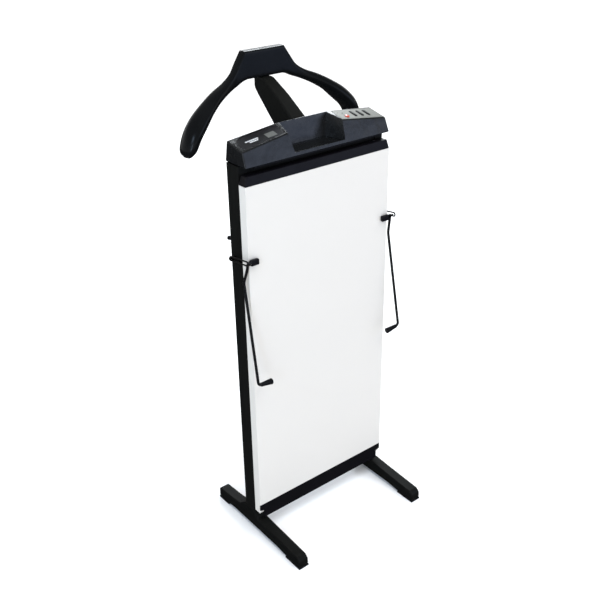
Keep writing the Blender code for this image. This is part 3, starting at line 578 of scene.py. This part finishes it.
def make_channels():
    r = 0.0020
    inner, web = HALF_WIDTH - CHANNEL_FLANGE, HALF_WIDTH - CHANNEL_WALL
    front, back, wall = CHANNEL_FRONT, CHANNEL_BACK, CHANNEL_WALL
    outline = [(inner, front)] + corner_arc((HALF_WIDTH - r, front + r), r, -pi / 2)
    outline += corner_arc((HALF_WIDTH - r, back - r), r, 0.0)
    outline += [(inner, back), (inner, back - wall)]
    outline += corner_arc((web - 0.0006, back - wall - 0.0006), 0.0006, 0.0, 2)[::-1]
    outline += corner_arc((web - 0.0006, front + wall + 0.0006), 0.0006, -pi / 2, 2)[::-1]
    outline += [(inner, front + wall)]
    for label, side in SIDES:
        sided = [(side * x, y) for x, y in outline]
        channel = add(f"channel_{label}", prism_mesh(sided, "z", CHANNEL_FOOT_Z, CHANNEL_TOP_Z),
                      STEEL, [f"side_channel_{label}"])
        slot = capsule_outline(STUD, STUD_OPEN, SLOT_R, SLOT_R, 10)
        tool = cutter(prism_mesh(slot, "x", side * (web - 0.002), side * (HALF_WIDTH + 0.002)))
        finished(channel, cuts=[tool], edge=0.00025)


def make_pad(name, body, node, half, y_range, z_range):
    """Pressing pad: a thin cushion, tucked and puckered round its edges and slightly uneven."""
    front, back = y_range
    low, high = z_range
    middle, half_height = (low + high) / 2, (high - low) / 2
    across, up = 60, 130
    random.seed(7)
    shift = Vector((random.uniform(0, 9), random.uniform(0, 9), random.uniform(0, 9)))

    def plane(face):
        points = []
        for j in range(up + 1):
            z = middle + half_height * (j / up * 2 - 1)
            for i in range(across + 1):
                x = half * (i / across * 2 - 1)
                rim = min(half - abs(x), half_height - abs(z - middle))
                tuck = 0.0016 * max(0.0, 1.0 - rim / 0.006) ** 2
                pucker = 0.0004 * (1 + sin(x * 260)) * max(0.0, 1 - rim / 0.02) ** 2
                ripple = 0.00022 * noise.noise(Vector((x * 18, z * 18, 0.0)) + shift)
                inward = tuck + pucker + max(0.0, ripple + 0.0001) + 1e-5
                points.append((x, front + inward if face == "front" else back - tuck, z))
        return points

    verts = plane("front") + plane("back")
    row, base = across + 1, (across + 1) * (up + 1)
    faces = []
    for j in range(up):
        for i in range(across):
            a = j * row + i
            faces.append([a, a + 1, a + row + 1, a + row])
            faces.append([base + a, base + a + row, base + a + row + 1, base + a + 1])
    for i in range(across):
        top = up * row + i
        faces.append([i, base + i, base + i + 1, i + 1])
        faces.append([top, top + 1, base + top + 1, base + top])
    for j in range(up):
        a, b = j * row, j * row + across
        faces.append([a, a + row, base + a + row, base + a])
        faces.append([b, base + b, base + b + row, b + row])
    pad = add(name, mesh_from(verts, faces, sharp=180), CLOTH, [node], body)
    inset = 0.0075
    stitches = seam_parts(half - inset, low + inset, high - inset, front)
    seam = mesh_from(*joined(stitches), sharp=180)
    add(f"{name}_seam", seam, LIGHT_THREAD, (), body)


def seam_parts(half, low, high, y):
    """A line of lockstitches round the pad, each a short low arch of thread."""
    parts = []
    corners = [(-half, low), (half, low), (half, high), (-half, high)]
    for (ax, az), (bx, bz) in zip(corners, corners[1:] + corners[:1]):
        length = hypot(bx - ax, bz - az)
        count = int(length / STITCH)
        for k in range(count):
            s0, s1 = (k + 0.14) / count, (k + 0.86) / count
            points = []
            for t in (0.0, 0.5, 1.0):
                s = s0 + (s1 - s0) * t
                lift = 0.00033 - 0.00022 * sin(pi * t)
                points.append((ax + (bx - ax) * s, y + lift, az + (bz - az) * s))
            parts.append(tube_data(points, 0.00024, 5))
    return parts


def make_screw(name, place, nodes=()):
    """Pan-head screw with a cross recess, its head pointing backward."""
    axis = Vector((0, 1, 0))
    profile = [(0.0, 0.0034), (0.0007, 0.0034), (0.0012, 0.0031), (0.0015, 0.0025),
               (0.00165, 0.0014)]
    head = add(name, turned_mesh(place, axis, profile), ZINC, nodes)
    across = axis.orthogonal().normalized()
    other = axis.cross(across)
    tools = []
    for a, b in ((across, other), (other, across)):
        rings = []
        for depth, long, thin in ((0.0006, 0.0008, 0.00018), (0.0024, 0.0021, 0.00034)):
            centre = Vector(place) + axis * depth
            rings.append([centre + a * long * m + b * thin * n
                          for m, n in ((1, 1), (-1, 1), (-1, -1), (1, -1))])
        tools.append(six_sided_cutter(*rings))
    finished(head, cuts=tools)


def make_rear():
    corners = [(x, z) for z in (0.125, 0.885) for x in (-0.158, 0.158)]
    for number, (x, z) in enumerate(corners, 1):
        make_screw(f"cover_screw_{number}", (x, COVER_BACK + GAP, z), [f"rear_screw_{number}"])
    extra = [(x, COVER_BACK, 0.505) for x in (-0.158, 0.158)]
    extra += [(x, CHANNEL_BACK, z) for x in (-0.179, 0.179) for z in (0.0710, 0.8960)]
    extra += [(x, BRACKET_BACK, z) for x in (-0.0240, 0.0240) for z in (0.8740, 0.8980)]
    for number, (x, y, z) in enumerate(extra, 1):
        make_screw(f"frame_screw_{number}", (x, y + GAP, z))
    make_gland()
    profile = [(0.0, 0.0036), (0.0010, 0.0034), (0.0090, 0.0029), (0.0100, 0.0031),
               (0.0106, 0.0042), (0.0112, 0.0046), (0.0136, 0.0046), (0.0146, 0.0041),
               (0.0151, 0.0030), (0.0152, 0.0015)]
    for label, side in SIDES:
        mesh = turned_mesh((side * PEG_X, CHANNEL_BACK + GAP, PEG_Z), (0, 1, 0), profile)
        add(f"peg_{label}", mesh, TRIM_PLASTIC, [f"rear_peg_{label}"])


def make_gland():
    """Rubber sleeve with a collar and five ribs that get smaller, bored for a cord."""
    x, z = 0.125, 0.150
    profile = [(0.0, 0.0095), (0.0018, 0.0095), (0.0023, 0.0090), (0.0024, 0.0074)]
    for k in range(5):
        start, shrink = 0.0030 + k * 0.0021, k * 0.0003
        profile += [(start, 0.0072 - shrink), (start + 0.0012, 0.0072 - shrink),
                    (start + 0.0013, 0.0063 - shrink), (start + 0.0020, 0.0063 - shrink)]
    profile.append((0.0139, 0.0050))
    mesh = turned_mesh((x, COVER_BACK + GAP, z), (0, 1, 0), profile)
    gland = add("gland_sleeve", mesh, RUBBER, ["cable_gland"])
    bore = turned_mesh((x, COVER_BACK - 0.002, z), (0, 1, 0), [(0.0, 0.0036), (0.022, 0.0036)])
    finished(gland, cuts=[cutter(bore)])


# ---- console
def console_front(z):
    return -0.0010 + 0.400 * (z - CONSOLE_Z)


def console_back(z):
    return 0.0680 - 0.127 * (z - CONSOLE_Z)


def wing_height(x, y):
    """Height of the sloping wing tops; they fall outward and rise towards the back."""
    return 0.9570 + WING_RISE * (y - 0.0170) - WING_FALL * (max(abs(x), WING_INNER) - WING_INNER)


def wing_point(x, y, lift=0.0):
    """A point above a wing's top, lifted along its normal."""
    normal = Vector((WING_FALL if x > 0 else -WING_FALL, -WING_RISE, 1.0)).normalized()
    return Vector((x, y, wing_height(x, y))) + normal * lift


def wing_data(outline, low, high):
    """A prism on a wing's sloping top, between two heights above it."""
    verts = [wing_point(x, y, lift) for lift in (low, high) for x, y in outline]
    return verts, prism_data(outline, "z", low, high)[1]


def wing_cutter(outline, low):
    """Cutter down into a wing, wider than the outline by the gap."""
    return cutter(mesh_from(*wing_data(scaled_outline(outline, GAP), low, 0.02), False))


def scaled_outline(outline, margin):
    """An outline stretched about its centre so that its box grows by the margin on each side."""
    cx = sum(p[0] for p in outline) / len(outline)
    cy = sum(p[1] for p in outline) / len(outline)
    half_x = max(abs(p[0] - cx) for p in outline)
    half_y = max(abs(p[1] - cy) for p in outline)
    return [(cx + (x - cx) * (1 + margin / half_x), cy + (y - cy) * (1 + margin / half_y))
            for x, y in outline]


def top_edge(x, inset, face):
    """Where the wing top meets the front or back face, found in a few steps, less an inset."""
    y = 0.014 if face == "front" else 0.060
    for _ in range(6):
        z = wing_height(x, y) - inset
        y = console_front(z) + inset if face == "front" else console_back(z) - inset
    return (x, y, z)


def round_outline(x, y, radius, count=32):
    return [(x + radius * cos(2 * pi * i / count), y + radius * sin(2 * pi * i / count))
            for i in range(count)]


def pill_outline(x, y, width, length):
    reach = (length - width) / 2
    return [(x + q, y + p) for p, q in
            capsule_outline((-reach, 0.0), (reach, 0.0), width / 2, width / 2, 8)]


PANEL = [(0.0730, 0.0188), (0.1833, 0.0135), (0.1837, 0.0592), (0.0730, 0.0588)]
BADGE = [(-0.1765, 0.0205), (-0.1715, 0.0165), (-0.0760, 0.0212), (-0.0725, 0.0250),
         (-0.0740, 0.0565), (-0.1590, 0.0560), (-0.1700, 0.0510), (-0.1765, 0.0420)]
LENS = round_outline(0.0930, 0.0446, 0.0017, 24)
READY_LENS = round_outline(0.0816, 0.0470, 0.0012, 20)
KEYS = [(f"timer_button_{i + 1}", pill_outline(x, TIMER_Y, 0.0070, 0.0245), 0.0014)
        for i, x in enumerate(TIMER_X)]
KEYS.append(("power_button", round_outline(*RED_KEY, 0.0050), 0.0019))
OPENINGS = [outline for _, outline, _ in KEYS] + [LENS, READY_LENS]


def tray_cutters():
    """The tray's opening, which leans outward, and its floor, which stops short of the front."""
    def ring(z, back, back_half, front, front_half):
        return [(-back_half, back, z), (back_half, back, z),
                (front_half, front, z), (-front_half, front, z)]

    opening = six_sided_cutter(ring(TRAY_FLOOR_Z + 0.0018, 0.0508, 0.0505, -0.0200, 0.0720),
                               ring(0.9850, 0.0616, 0.0660, -0.0200, 0.0885))
    floor = six_sided_cutter(*(ring(z, 0.0505, 0.0500, 0.0052, 0.0625)
                               for z in (TRAY_FLOOR_Z, TRAY_FLOOR_Z + 0.004)))
    return [opening, floor]


def wing_cavity(side):
    wall, inner, outer = 0.0024, side * 0.0835, side * (CONSOLE_END_TOP - 0.0024)
    low = CONSOLE_Z - 0.002
    front, back = console_front(low) + wall, console_back(low) - wall
    bottom = [(inner, front, low), (outer, front, low), (outer, back, low), (inner, back, low)]
    top = [top_edge(x, wall, face) for x, face in
           ((inner, "front"), (outer, "front"), (outer, "back"), (inner, "back"))]
    return six_sided_cutter(bottom, top)


def make_console():
    stations = (-CONSOLE_END_TOP, -WING_INNER, WING_INNER, CONSOLE_END_TOP)
    front, back = console_front(CONSOLE_Z), console_back(CONSOLE_Z)
    verts = [(-CONSOLE_HALF, front, CONSOLE_Z), (CONSOLE_HALF, front, CONSOLE_Z),
             (CONSOLE_HALF, back, CONSOLE_Z), (-CONSOLE_HALF, back, CONSOLE_Z)]
    verts += [top_edge(x, 0.0, "front") for x in stations]
    verts += [top_edge(x, 0.0, "back") for x in stations]
    faces = [(0, 3, 2, 1), (0, 1, 7, 6, 5, 4), (2, 3, 8, 9, 10, 11), (1, 2, 11, 7), (3, 0, 4, 8),
             (4, 5, 9, 8), (5, 6, 10, 9), (6, 7, 11, 10)]
    mesh = mesh_from(verts, faces, False)
    shell = add("console_cover", mesh, PLASTIC, ["console_shell"])
    cuts = tray_cutters() + [wing_cavity(-1), wing_cavity(1)]
    cuts += [wing_cutter(outline, -RECESS) for outline in (PANEL, BADGE)]
    cuts += [wing_cutter(outline, -0.0070) for outline in OPENINGS]
    finished(shell, 0.0022, 4, 12, cuts=cuts, edge=0.0005)


def domed_key(outline, low, high, crown):
    """Button body with a rounded rim and a slightly crowned top, as stacked rings."""
    rings = [[wing_point(x, y, low) for x, y in outline]]
    for drop, inset in ((0.0005, 0.0), (0.00035, -0.00008), (0.00018, -0.00024),
                        (0.00005, -0.0005), (-crown * 0.4, -0.0009), (-crown, -0.0015)):
        rings.append([wing_point(x, y, high - drop) for x, y in scaled_outline(outline, inset)])
    return ring_data(rings)


def make_controls():
    mesh = mesh_from(*wing_data(PANEL, -RECESS + GAP, GAP), False)
    panel = add("panel_face", mesh, SILVER, ["control_panel"])
    finished(panel, 0.0006, 2, 60, cuts=[wing_cutter(outline, -0.01) for outline in OPENINGS])
    for name, outline, height in KEYS:
        mat, slot = (RED, "red_lens") if name == "power_button" else (KEY_PLASTIC, "black_plastic")
        flange = wing_data(scaled_outline(outline, 0.0012), -0.0044, -0.0030)
        mesh = mesh_from(*joined([domed_key(outline, -0.0040, height, 0.0004), flange]))
        key = add(name.replace("button", "key"), mesh, mat, [name], name)
        key.data.set_sharp_from_angle(angle=radians(50))
    for label, outline, nodes in (("power_lens", LENS, ["indicator_lens"]),
                                  ("ready_lens", READY_LENS, [])):
        mesh = mesh_from(*domed_key(outline, -0.0044, 0.0006, 0.0003))
        add(label, mesh, DARK_LENS, nodes)
    make_panel_print()


def make_panel_print():
    """Plain printed marks: dots and a rule by the timer keys, a ring, a border."""
    lift, top = GAP + 0.00002, GAP + 0.00007
    parts = []
    for k, x in enumerate(TIMER_X):
        for dot in range(k + 1):
            mark = round_outline(x - 0.0011 * k + 0.0022 * dot, 0.0542, 0.0006, 10)
            parts.append(wing_data(mark, lift, top))
    rule = [(0.1130, 0.0226), (0.1594, 0.0214), (0.1594, 0.0218), (0.1130, 0.0230)]
    parts.append(wing_data(rule, lift, top))
    outer, inner = round_outline(*RED_KEY, 0.0064, 40), round_outline(*RED_KEY, 0.0060, 40)
    rings = [[wing_point(x, y, height) for x, y in outline] for outline, height in
             ((outer, lift), (inner, lift), (inner, top), (outer, top))]
    parts.append(ring_data(rings, closed=True))
    edges = [scaled_outline(PANEL, margin) for margin in (-0.0020, -0.0024)]
    for i in range(4):
        j = (i + 1) % 4
        parts.append(wing_data([edges[0][i], edges[0][j], edges[1][j], edges[1][i]], lift, top))
    add("panel_print", mesh_from(*joined(parts), False), DARK_PRINT)


def make_badge():
    """Plain plate in the left wing, with a blank label and two rows of plain bars."""
    mesh = mesh_from(*wing_data(BADGE, -RECESS + GAP, -0.0003), False)
    plate = add("badge_face", mesh, TRIM_PLASTIC, ["badge_plate"])
    finished(plate, 0.00025, 2, 40)
    lift, top = -0.00028, -0.00012
    label = [(-0.1125, 0.0252), (-0.0900, 0.0252), (-0.0900, 0.0405), (-0.1125, 0.0405)]
    add("blank_label", mesh_from(*wing_data(label, lift, top), False), GREY_PRINT)
    bars = []
    for x0, x1, low, count in ((-0.1600, -0.1290, 0.0352, 7), (-0.1525, -0.1325, 0.0300, 5)):
        step, high = (x1 - x0) / count, low + 0.0034
        for k in range(count):
            a, b = x0 + step * k + 0.0004, x0 + step * (k + 1) - 0.0004
            bars.append(wing_data([(a, low), (b, low), (b, high), (a, high)], lift, top))
    add("blank_bars", mesh_from(*joined(bars), False), LIGHT_PRINT)


# ---- hanger
# one shoulder from the middle out: top edge (x, z), bottom edge (x, z), y, half depth, squareness
SHOULDER = (
    (0.0505, HANGER_TOP_Z, 0.0460, HANGER_FOOT, 0.1930, 0.0113, 9.0),
    (0.0655, 1.0640, 0.0580, 1.0240, 0.1925, 0.0112, 6.0),
    (0.0815, 1.0425, 0.0740, 1.0165, 0.1905, 0.0112, 4.0),
    (0.1040, 1.0275, 0.0947, 1.0084, 0.1865, 0.0130, 3.0),
    (0.1340, 1.0150, 0.1220, 0.9948, 0.1795, 0.0172, 2.4),
    (0.1640, 0.9990, 0.1480, 0.9777, 0.1710, 0.0218, 2.1),
    (0.1930, 0.9800, 0.1703, 0.9560, 0.1636, 0.0255, 2.0),
    (0.2160, 0.9560, 0.1903, 0.9365, 0.1575, 0.0265, 2.0),
    (0.2290, 0.9300, 0.2024, 0.9173, 0.1555, 0.0245, 2.0),
    (0.2325, 0.9150, 0.2110, 0.9080, 0.1550, 0.0185, 2.0),
    (0.2275, 0.9060, 0.2165, 0.9035, 0.1545, 0.0085, 2.0),
)


def spline_sections(sections, steps):
    """Catmull-Rom interpolation through the listed sections."""
    rows = [tuple(2 * a - b for a, b in zip(sections[0], sections[1])), *sections]
    rows.append(tuple(2 * a - b for a, b in zip(rows[-1], rows[-2])))
    result = []
    for k in range(1, len(rows) - 2):
        p0, p1, p2, p3 = rows[k - 1:k + 3]
        for step in range(steps):
            t = step / steps
            result.append(tuple(0.5 * (2 * b + (c - a) * t + (2 * a - 5 * b + 4 * c - d) * t * t
                                       + (3 * b - a - 3 * c + d) * t ** 3)
                                for a, b, c, d in zip(p0, p1, p2, p3)))
    result.append(rows[-2])
    return result


def closing_section(row, scale, depth):
    """A smaller, slightly lower copy of a section, to close the shoulder's tip."""
    tx, tz, bx, bz, y, _, power = row
    x, z, drop = (tx + bx) / 2, (tz + bz) / 2, 0.0008 * (1 - scale)
    return (x + (tx - x) * scale, z + (tz - z) * scale - drop,
            x + (bx - x) * scale, z + (bz - z) * scale - drop, y, depth * scale, power)


def hanger_ring(side, row, count=48):
    tx, tz, bx, bz, y, depth, power = row
    centre = Vector((side * (tx + bx) / 2, y, (tz + bz) / 2))
    up = Vector((side * (tx - bx) / 2, 0.0, (tz - bz) / 2))
    ring = []
    for i in range(count):
        angle = 2 * pi * (i + 0.5) / count
        a, b = (copysign(abs(v) ** (2 / power), v) for v in (cos(angle), sin(angle)))
        ring.append(centre + up * a + Vector((0.0, depth * b, 0.0)))
    return ring


def make_hanger():
    rows = spline_sections(SHOULDER, 6)
    tip_depth = rows[-1][5]
    for scale in (0.75, 0.4):
        rows.append(closing_section(rows[-1], scale, tip_depth))
    rings = [hanger_ring(-1, r) for r in rows[::-1]] + [hanger_ring(1, r) for r in rows]
    mesh = mesh_from(*ring_data(rings), sharp=40)
    yoke = add("hanger_yoke", mesh, GLOSS_PLASTIC, ["hanger"])
    socket = box_mesh((-0.0103, HANGER_Y - 0.0068, 1.0200), (0.0103, HANGER_Y + 0.0068, 1.0453))
    finished(yoke, cuts=[cutter(socket)])


def make_arm():
    """Raked arm that narrows towards the top, with a spigot that goes up into the hanger."""
    root = BRACKET_BACK + GAP
    outline = [(root, 0.8690), (0.1390, 0.9370), (0.1945, 0.9880), (0.2060, 1.0000),
               (ARM_BACK, 1.0060), (ARM_BACK, HANGER_FOOT - GAP), (0.1790, HANGER_FOOT - GAP),
               (0.1720, 1.0258), (0.1240, 0.9985), (root, 0.9620)]
    verts, faces = prism_data(outline, "x", -1.0, 1.0)
    verts = [(x * (0.0180 - 0.036 * (y - root)), y, z) for x, y, z in verts]
    mesh = mesh_from(verts, faces, False)
    arm = add("arm_post", mesh, ARM_PLASTIC, ["hanger_arm"])
    spigot = box_mesh((-0.0100, HANGER_Y - 0.0065, 1.0150), (0.0100, HANGER_Y + 0.0065, 1.0450))
    finished(arm, 0.0034, 5, 20, joins=[cutter(spigot)])


# ---- door
def make_door():
    half = HALF_WIDTH
    outline = [(0.0, DOOR_TRIM_Z + GAP), (0.0, DOOR_TOP_Z), (DOOR_THICK, DOOR_TOP_Z),
               (DOOR_THICK, DOOR_FOOT_Z), (0.0038, DOOR_FOOT_Z), (0.0038, DOOR_TRIM_Z + GAP)]
    mesh = prism_mesh(outline, "x", -half, half)
    board = add("door_panel", mesh, LAMINATE, ["door_board"], "door")
    finished(board, 0.0009, 4, 60)

    foot, step = 0.0475, half - 0.0110
    outline = [(-half, DOOR_TRIM_Z), (half, DOOR_TRIM_Z), (half, 0.0715), (step, 0.0690),
               (step, foot), (-step, foot), (-step, 0.0690), (-half, 0.0715)]
    mesh = prism_mesh(outline, "y", 0.0, 0.0035)
    trim = add("door_kick_trim", mesh, TRIM_PLASTIC, ["door_bottom_trim"], "door")
    finished(trim, 0.0008, 3, 30)

    base, top, end = DOOR_TOP_Z + GAP, TRIM_TOP_Z, half - 0.005
    rings = [[(-half, 0.0, base), (half, 0.0, base),
              (half, DOOR_THICK, base), (-half, DOOR_THICK, base)],
             [(-end, 0.0032, top), (end, 0.0032, top), (end, 0.0205, top), (-end, 0.0205, top)]]
    mesh = mesh_from(*ring_data(rings), smooth=False)
    cap = add("door_cap_trim", mesh, TRIM_PLASTIC, ["door_top_trim"], "door")
    finished(cap, 0.0014, 4, 30)

    for label, side in SIDES:
        mesh = side_box_mesh(side, (0.1690, 0.1893), (-0.0089, -GAP), (0.7108, 0.7238))
        nodes = [f"handle_clip_{label}"]
        clip = add(f"clip_block_{label}", mesh, TRIM_PLASTIC, nodes, "door")
        bore = wire_bore((side * 0.1725, *JOURNAL), (side, 0, 0), 0.0225)
        finished(clip, 0.0024, 4, 30, cuts=[bore])


# ---- handles and links
def wire_bore(start, direction, length):
    """Cutter for a hole that the handle's wire goes through."""
    return cutter(turned_mesh(start, direction, [(0.0, WIRE_R + GAP), (length, WIRE_R + GAP)]))


def make_handle(label, side):
    body, across = f"handle_{label}", (side, 0, 0)
    bend = (side * 0.2038, -0.0355, 0.4485)
    tip = (side * 0.1705, -0.0335, 0.4440)
    corners = [(side * 0.1735, *JOURNAL), (side * JOURNAL_X, *JOURNAL),
               (side * (JOURNAL_X + 0.0003), -0.0024, 0.7050), (side * 0.2004, 0.0053, 0.6740),
               bend, tip]
    path = fillet_path(corners, (0.0036, 0.02, 0.02, 0.0075))
    mesh = mesh_from(*tube_data(path, WIRE_R, 24))
    add(f"handle_rod_{label}", mesh, WIRE, [f"handle_wire_{label}"], body)

    outline = capsule_outline(JOURNAL, CRANK, 0.0047, 0.0036, 14)
    mesh = prism_mesh(outline, "x", *sorted(side * x for x in CRANK_X))
    crank = add(f"crank_plate_{label}", mesh, WIRE, [f"crank_{label}"], body)
    length = LINK_X - LINK_WIRE_R - GAP - PIN_X
    profile = [(0.0, 0.0022), (length - 0.0004, 0.0022), (length, 0.0018)]
    pin = cutter(turned_mesh((side * PIN_X, *CRANK), across, profile))
    hole = wire_bore((side * 0.188, *JOURNAL), across, 0.0065)
    finished(crank, joins=[pin], cuts=[hole], edge=0.0003)
    make_grip(label, body, Vector(bend), Vector(tip))


def make_grip(label, body, bend, tip):
    """Plastic sleeve on the handle's end: seven shallow ribs, and a flared end."""
    along = tip - bend
    direction = along.normalized()
    start = bend + direction * 0.0065
    length = along.length - 0.0065 + 0.0030
    profile = [(0.0, 0.0038), (0.0004, 0.0043), (0.0010, 0.0046)]
    for k in range(7):
        at, r = length * (0.16 + 0.085 * k), 0.0047 + 0.00022 * k
        profile += [(at, r), (at + 0.0002, r - 0.00022), (at + 0.0009, r - 0.00022),
                    (at + 0.0011, r + 0.00003)]
    profile += [(length * 0.80, 0.0062), (length - 0.0022, 0.0068), (length - 0.0010, 0.0066),
                (length - 0.0003, 0.0057), (length, 0.0043)]
    mesh = turned_mesh(start, along, profile)
    grip = add(f"grip_sleeve_{label}", mesh, KEY_PLASTIC,
               [f"handle_grip_{label}"], body)
    finished(grip, cuts=[wire_bore(start - direction * 0.01, along, length + 0.0074)])


def make_link(label, side):
    body = f"link_{label}"
    outline = capsule_outline(STUD, CRANK, LINK_HALF_GAP, LINK_HALF_GAP, 12)
    loop = [Vector((side * LINK_X, y, z)) for y, z in outline]
    path = []
    for a, b in zip(loop, loop[1:] + loop[:1]):
        count = max(1, int((b - a).length / 0.004))
        path += [a.lerp(b, k / count) for k in range(count)]
    mesh = mesh_from(*tube_data(path, LINK_WIRE_R, 16, closed=True))
    add(f"link_wire_{label}", mesh, LINK_STEEL, [f"link_loop_{label}"], body)
    # the stud as (x, radius): a foot behind the channel, a collar in front, a cap past the loop
    profile = [(0.1855, 0.0034), (0.1858, 0.0038), (0.1879, 0.0038), (0.1880, STUD_R),
               (0.1903, STUD_R), (0.1904, 0.0036), (0.1907, 0.0038), (0.1986, 0.0038),
               (0.1989, 0.0036), (0.1990, STUD_R), (0.2030, STUD_R), (0.2031, 0.0038),
               (0.2033, 0.0040), (0.2041, 0.0039), (0.2046, 0.0035), (0.2048, 0.0026)]
    base = profile[0][0]
    profile = [(x - base, radius) for x, radius in profile]
    mesh = turned_mesh((side * base, *STUD), (side, 0, 0), profile)
    add(f"channel_stud_{label}", mesh, LINK_STEEL, [f"link_stud_{label}"], body)


# ---- CAD nodes that stay
def dress_frame_nodes():
    looks = {STEEL: ("top_rail", "bottom_rail", "rear_cover", "hanger_bracket", "door_lug_left",
                     "door_lug_right", "hinge_bracket_left", "hinge_bracket_right"),
             ALUMINIUM: ("platen_plate", "thermal_cutout"), HEATER: ("heater_element",),
             BOARD: ("platen_board",), ZINC: ("hinge_pin_left", "hinge_pin_right"),
             LACQUER: ("circuit_board",), NYLON: ("terminal_block",),
             TRIM_PLASTIC: ("console_base", "supply_lead")}
    for mat, names in looks.items():
        for name in names:
            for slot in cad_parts[name].material_slots:
                slot.material = mat


# ---- stage, light and camera
def make_stage():
    """Wide white floor; it lights the press from below but is kept out of glossy reflections."""
    floor = linked("floor", box_mesh((-40.0, -40.0, -0.02), (40.0, 40.0, 0.0)))
    s = Shader("studio_floor", (0.93, 0.93, 0.93), 0.6, specular=0.0)
    s.color(s.noise(2.0), (0.3, -0.0054), (0.7, 0.0054))
    floor.data.materials.append(s.mat)
    floor.visible_glossy = False


def aimed_light(name, kind, power, direction, glossy):
    """A light that shines along a direction; glossy says whether reflections show it."""
    obj = linked(name, bpy.data.lights.new(name, kind))
    obj.data.energy = power
    obj.rotation_euler = direction.to_track_quat("-Z", "Y").to_euler()
    obj.visible_glossy = glossy
    return obj


def softbox(name, place, target, size, power, color, glossy=True):
    obj = aimed_light(name, "AREA", power, Vector(target) - Vector(place), glossy)
    obj.location = place
    obj.data.shape = "RECTANGLE"
    obj.data.size, obj.data.size_y = size
    obj.data.color = color


def make_world():
    """A room that is white at the horizon, greyer overhead and dark below the horizon."""
    world = bpy.data.worlds.new("studio")
    bpy.context.scene.world = world
    world.use_nodes = True
    nodes, links = world.node_tree.nodes, world.node_tree.links
    background = nodes["Background"]
    background.inputs["Color"].default_value = (0.985, 0.992, 1.0, 1.0)
    split = nodes.new("ShaderNodeSeparateXYZ")
    height = nodes.new("ShaderNodeMapRange")
    height.inputs["From Min"].default_value = -1.0
    level = nodes.new("ShaderNodeValToRGB")
    stops = ((0.0, 0.05), (0.470, 0.05), (0.488, 1.00), (0.58, 1.00), (0.68, 0.26), (1.0, 0.26))
    fill_ramp(level.color_ramp, [(place, (value,) * 3) for place, value in stops])
    links.new(nodes.new("ShaderNodeTexCoord").outputs["Generated"], split.inputs["Vector"])
    links.new(split.outputs["Z"], height.inputs["Value"])
    links.new(height.outputs["Result"], level.inputs["Fac"])
    links.new(level.outputs["Color"], background.inputs["Strength"])


def make_lights():
    make_world()
    sky = aimed_light("overhead", "SUN", 3.05, Vector((-0.12, 0.22, -1.0)), False)
    sky.data.angle = radians(70.0)
    softbox("front_softbox", (1.45, -2.25, 1.15), (0.0, 0.0, 0.93), (1.5, 1.9),
            14.0, (0.50, 0.64, 1.0))
    softbox("rear_softbox", (1.75, 2.25, 2.45), (0.0, 0.1, 1.0), (1.3, 1.0),
            58.0, (0.90, 0.96, 1.0))
    softbox("left_spot", (-2.30, -0.75, 2.30), (-0.2, 0.1, 0.95), (0.8, 0.8),
            24.0, (0.62, 0.78, 1.0))
    softbox("left_strip", (-2.50, -1.55, 1.25), (-0.19, 0.0, 0.93), (0.35, 0.8),
            18.0, (0.66, 0.82, 1.0))
    softbox("door_fill", (0.1, -1.45, 2.2), (0.0, 0.0, 0.9), (0.6, 0.6),
            4.0, (1.0, 1.0, 1.0), False)


def make_camera():
    azimuth, elevation, roll = (radians(a) for a in CAMERA_ANGLES)
    look = Vector((-sin(azimuth) * cos(elevation), cos(azimuth) * cos(elevation), -sin(elevation)))
    right = look.cross(Vector((0, 0, 1))).normalized()
    up = right.cross(look)
    tilted = right * cos(roll) + up * sin(roll)
    upright = up * cos(roll) - right * sin(roll)
    camera = linked("camera", bpy.data.cameras.new("camera"))
    camera.data.lens = CAMERA_LENS
    camera.data.sensor_width = 36.0
    camera.data.clip_start = 0.05
    rotation = Matrix((tilted, upright, -look)).transposed()
    camera.matrix_world = Matrix.Translation(CAMERA_PLACE) @ rotation.to_4x4()
    bpy.context.scene.camera = camera
    bpy.context.scene.view_settings.view_transform = "Standard"


# ---- assembly
make_stage()
make_lights()
make_camera()
make_feet()
make_channels()
make_pad("platen_cushion", "root", "platen_pad", 0.1670, (0.0268, 0.0302), (0.1080, 0.8800))
make_pad("door_cushion", "door", "door_pad", 0.1660, (0.0223, 0.0262), (0.1120, 0.8660))
make_rear()
make_console()
make_controls()
make_badge()
make_arm()
make_hanger()
make_door()
for SIDE_NAME, SIDE in SIDES:
    make_handle(SIDE_NAME, SIDE)
    make_link(SIDE_NAME, SIDE)
dress_frame_nodes()
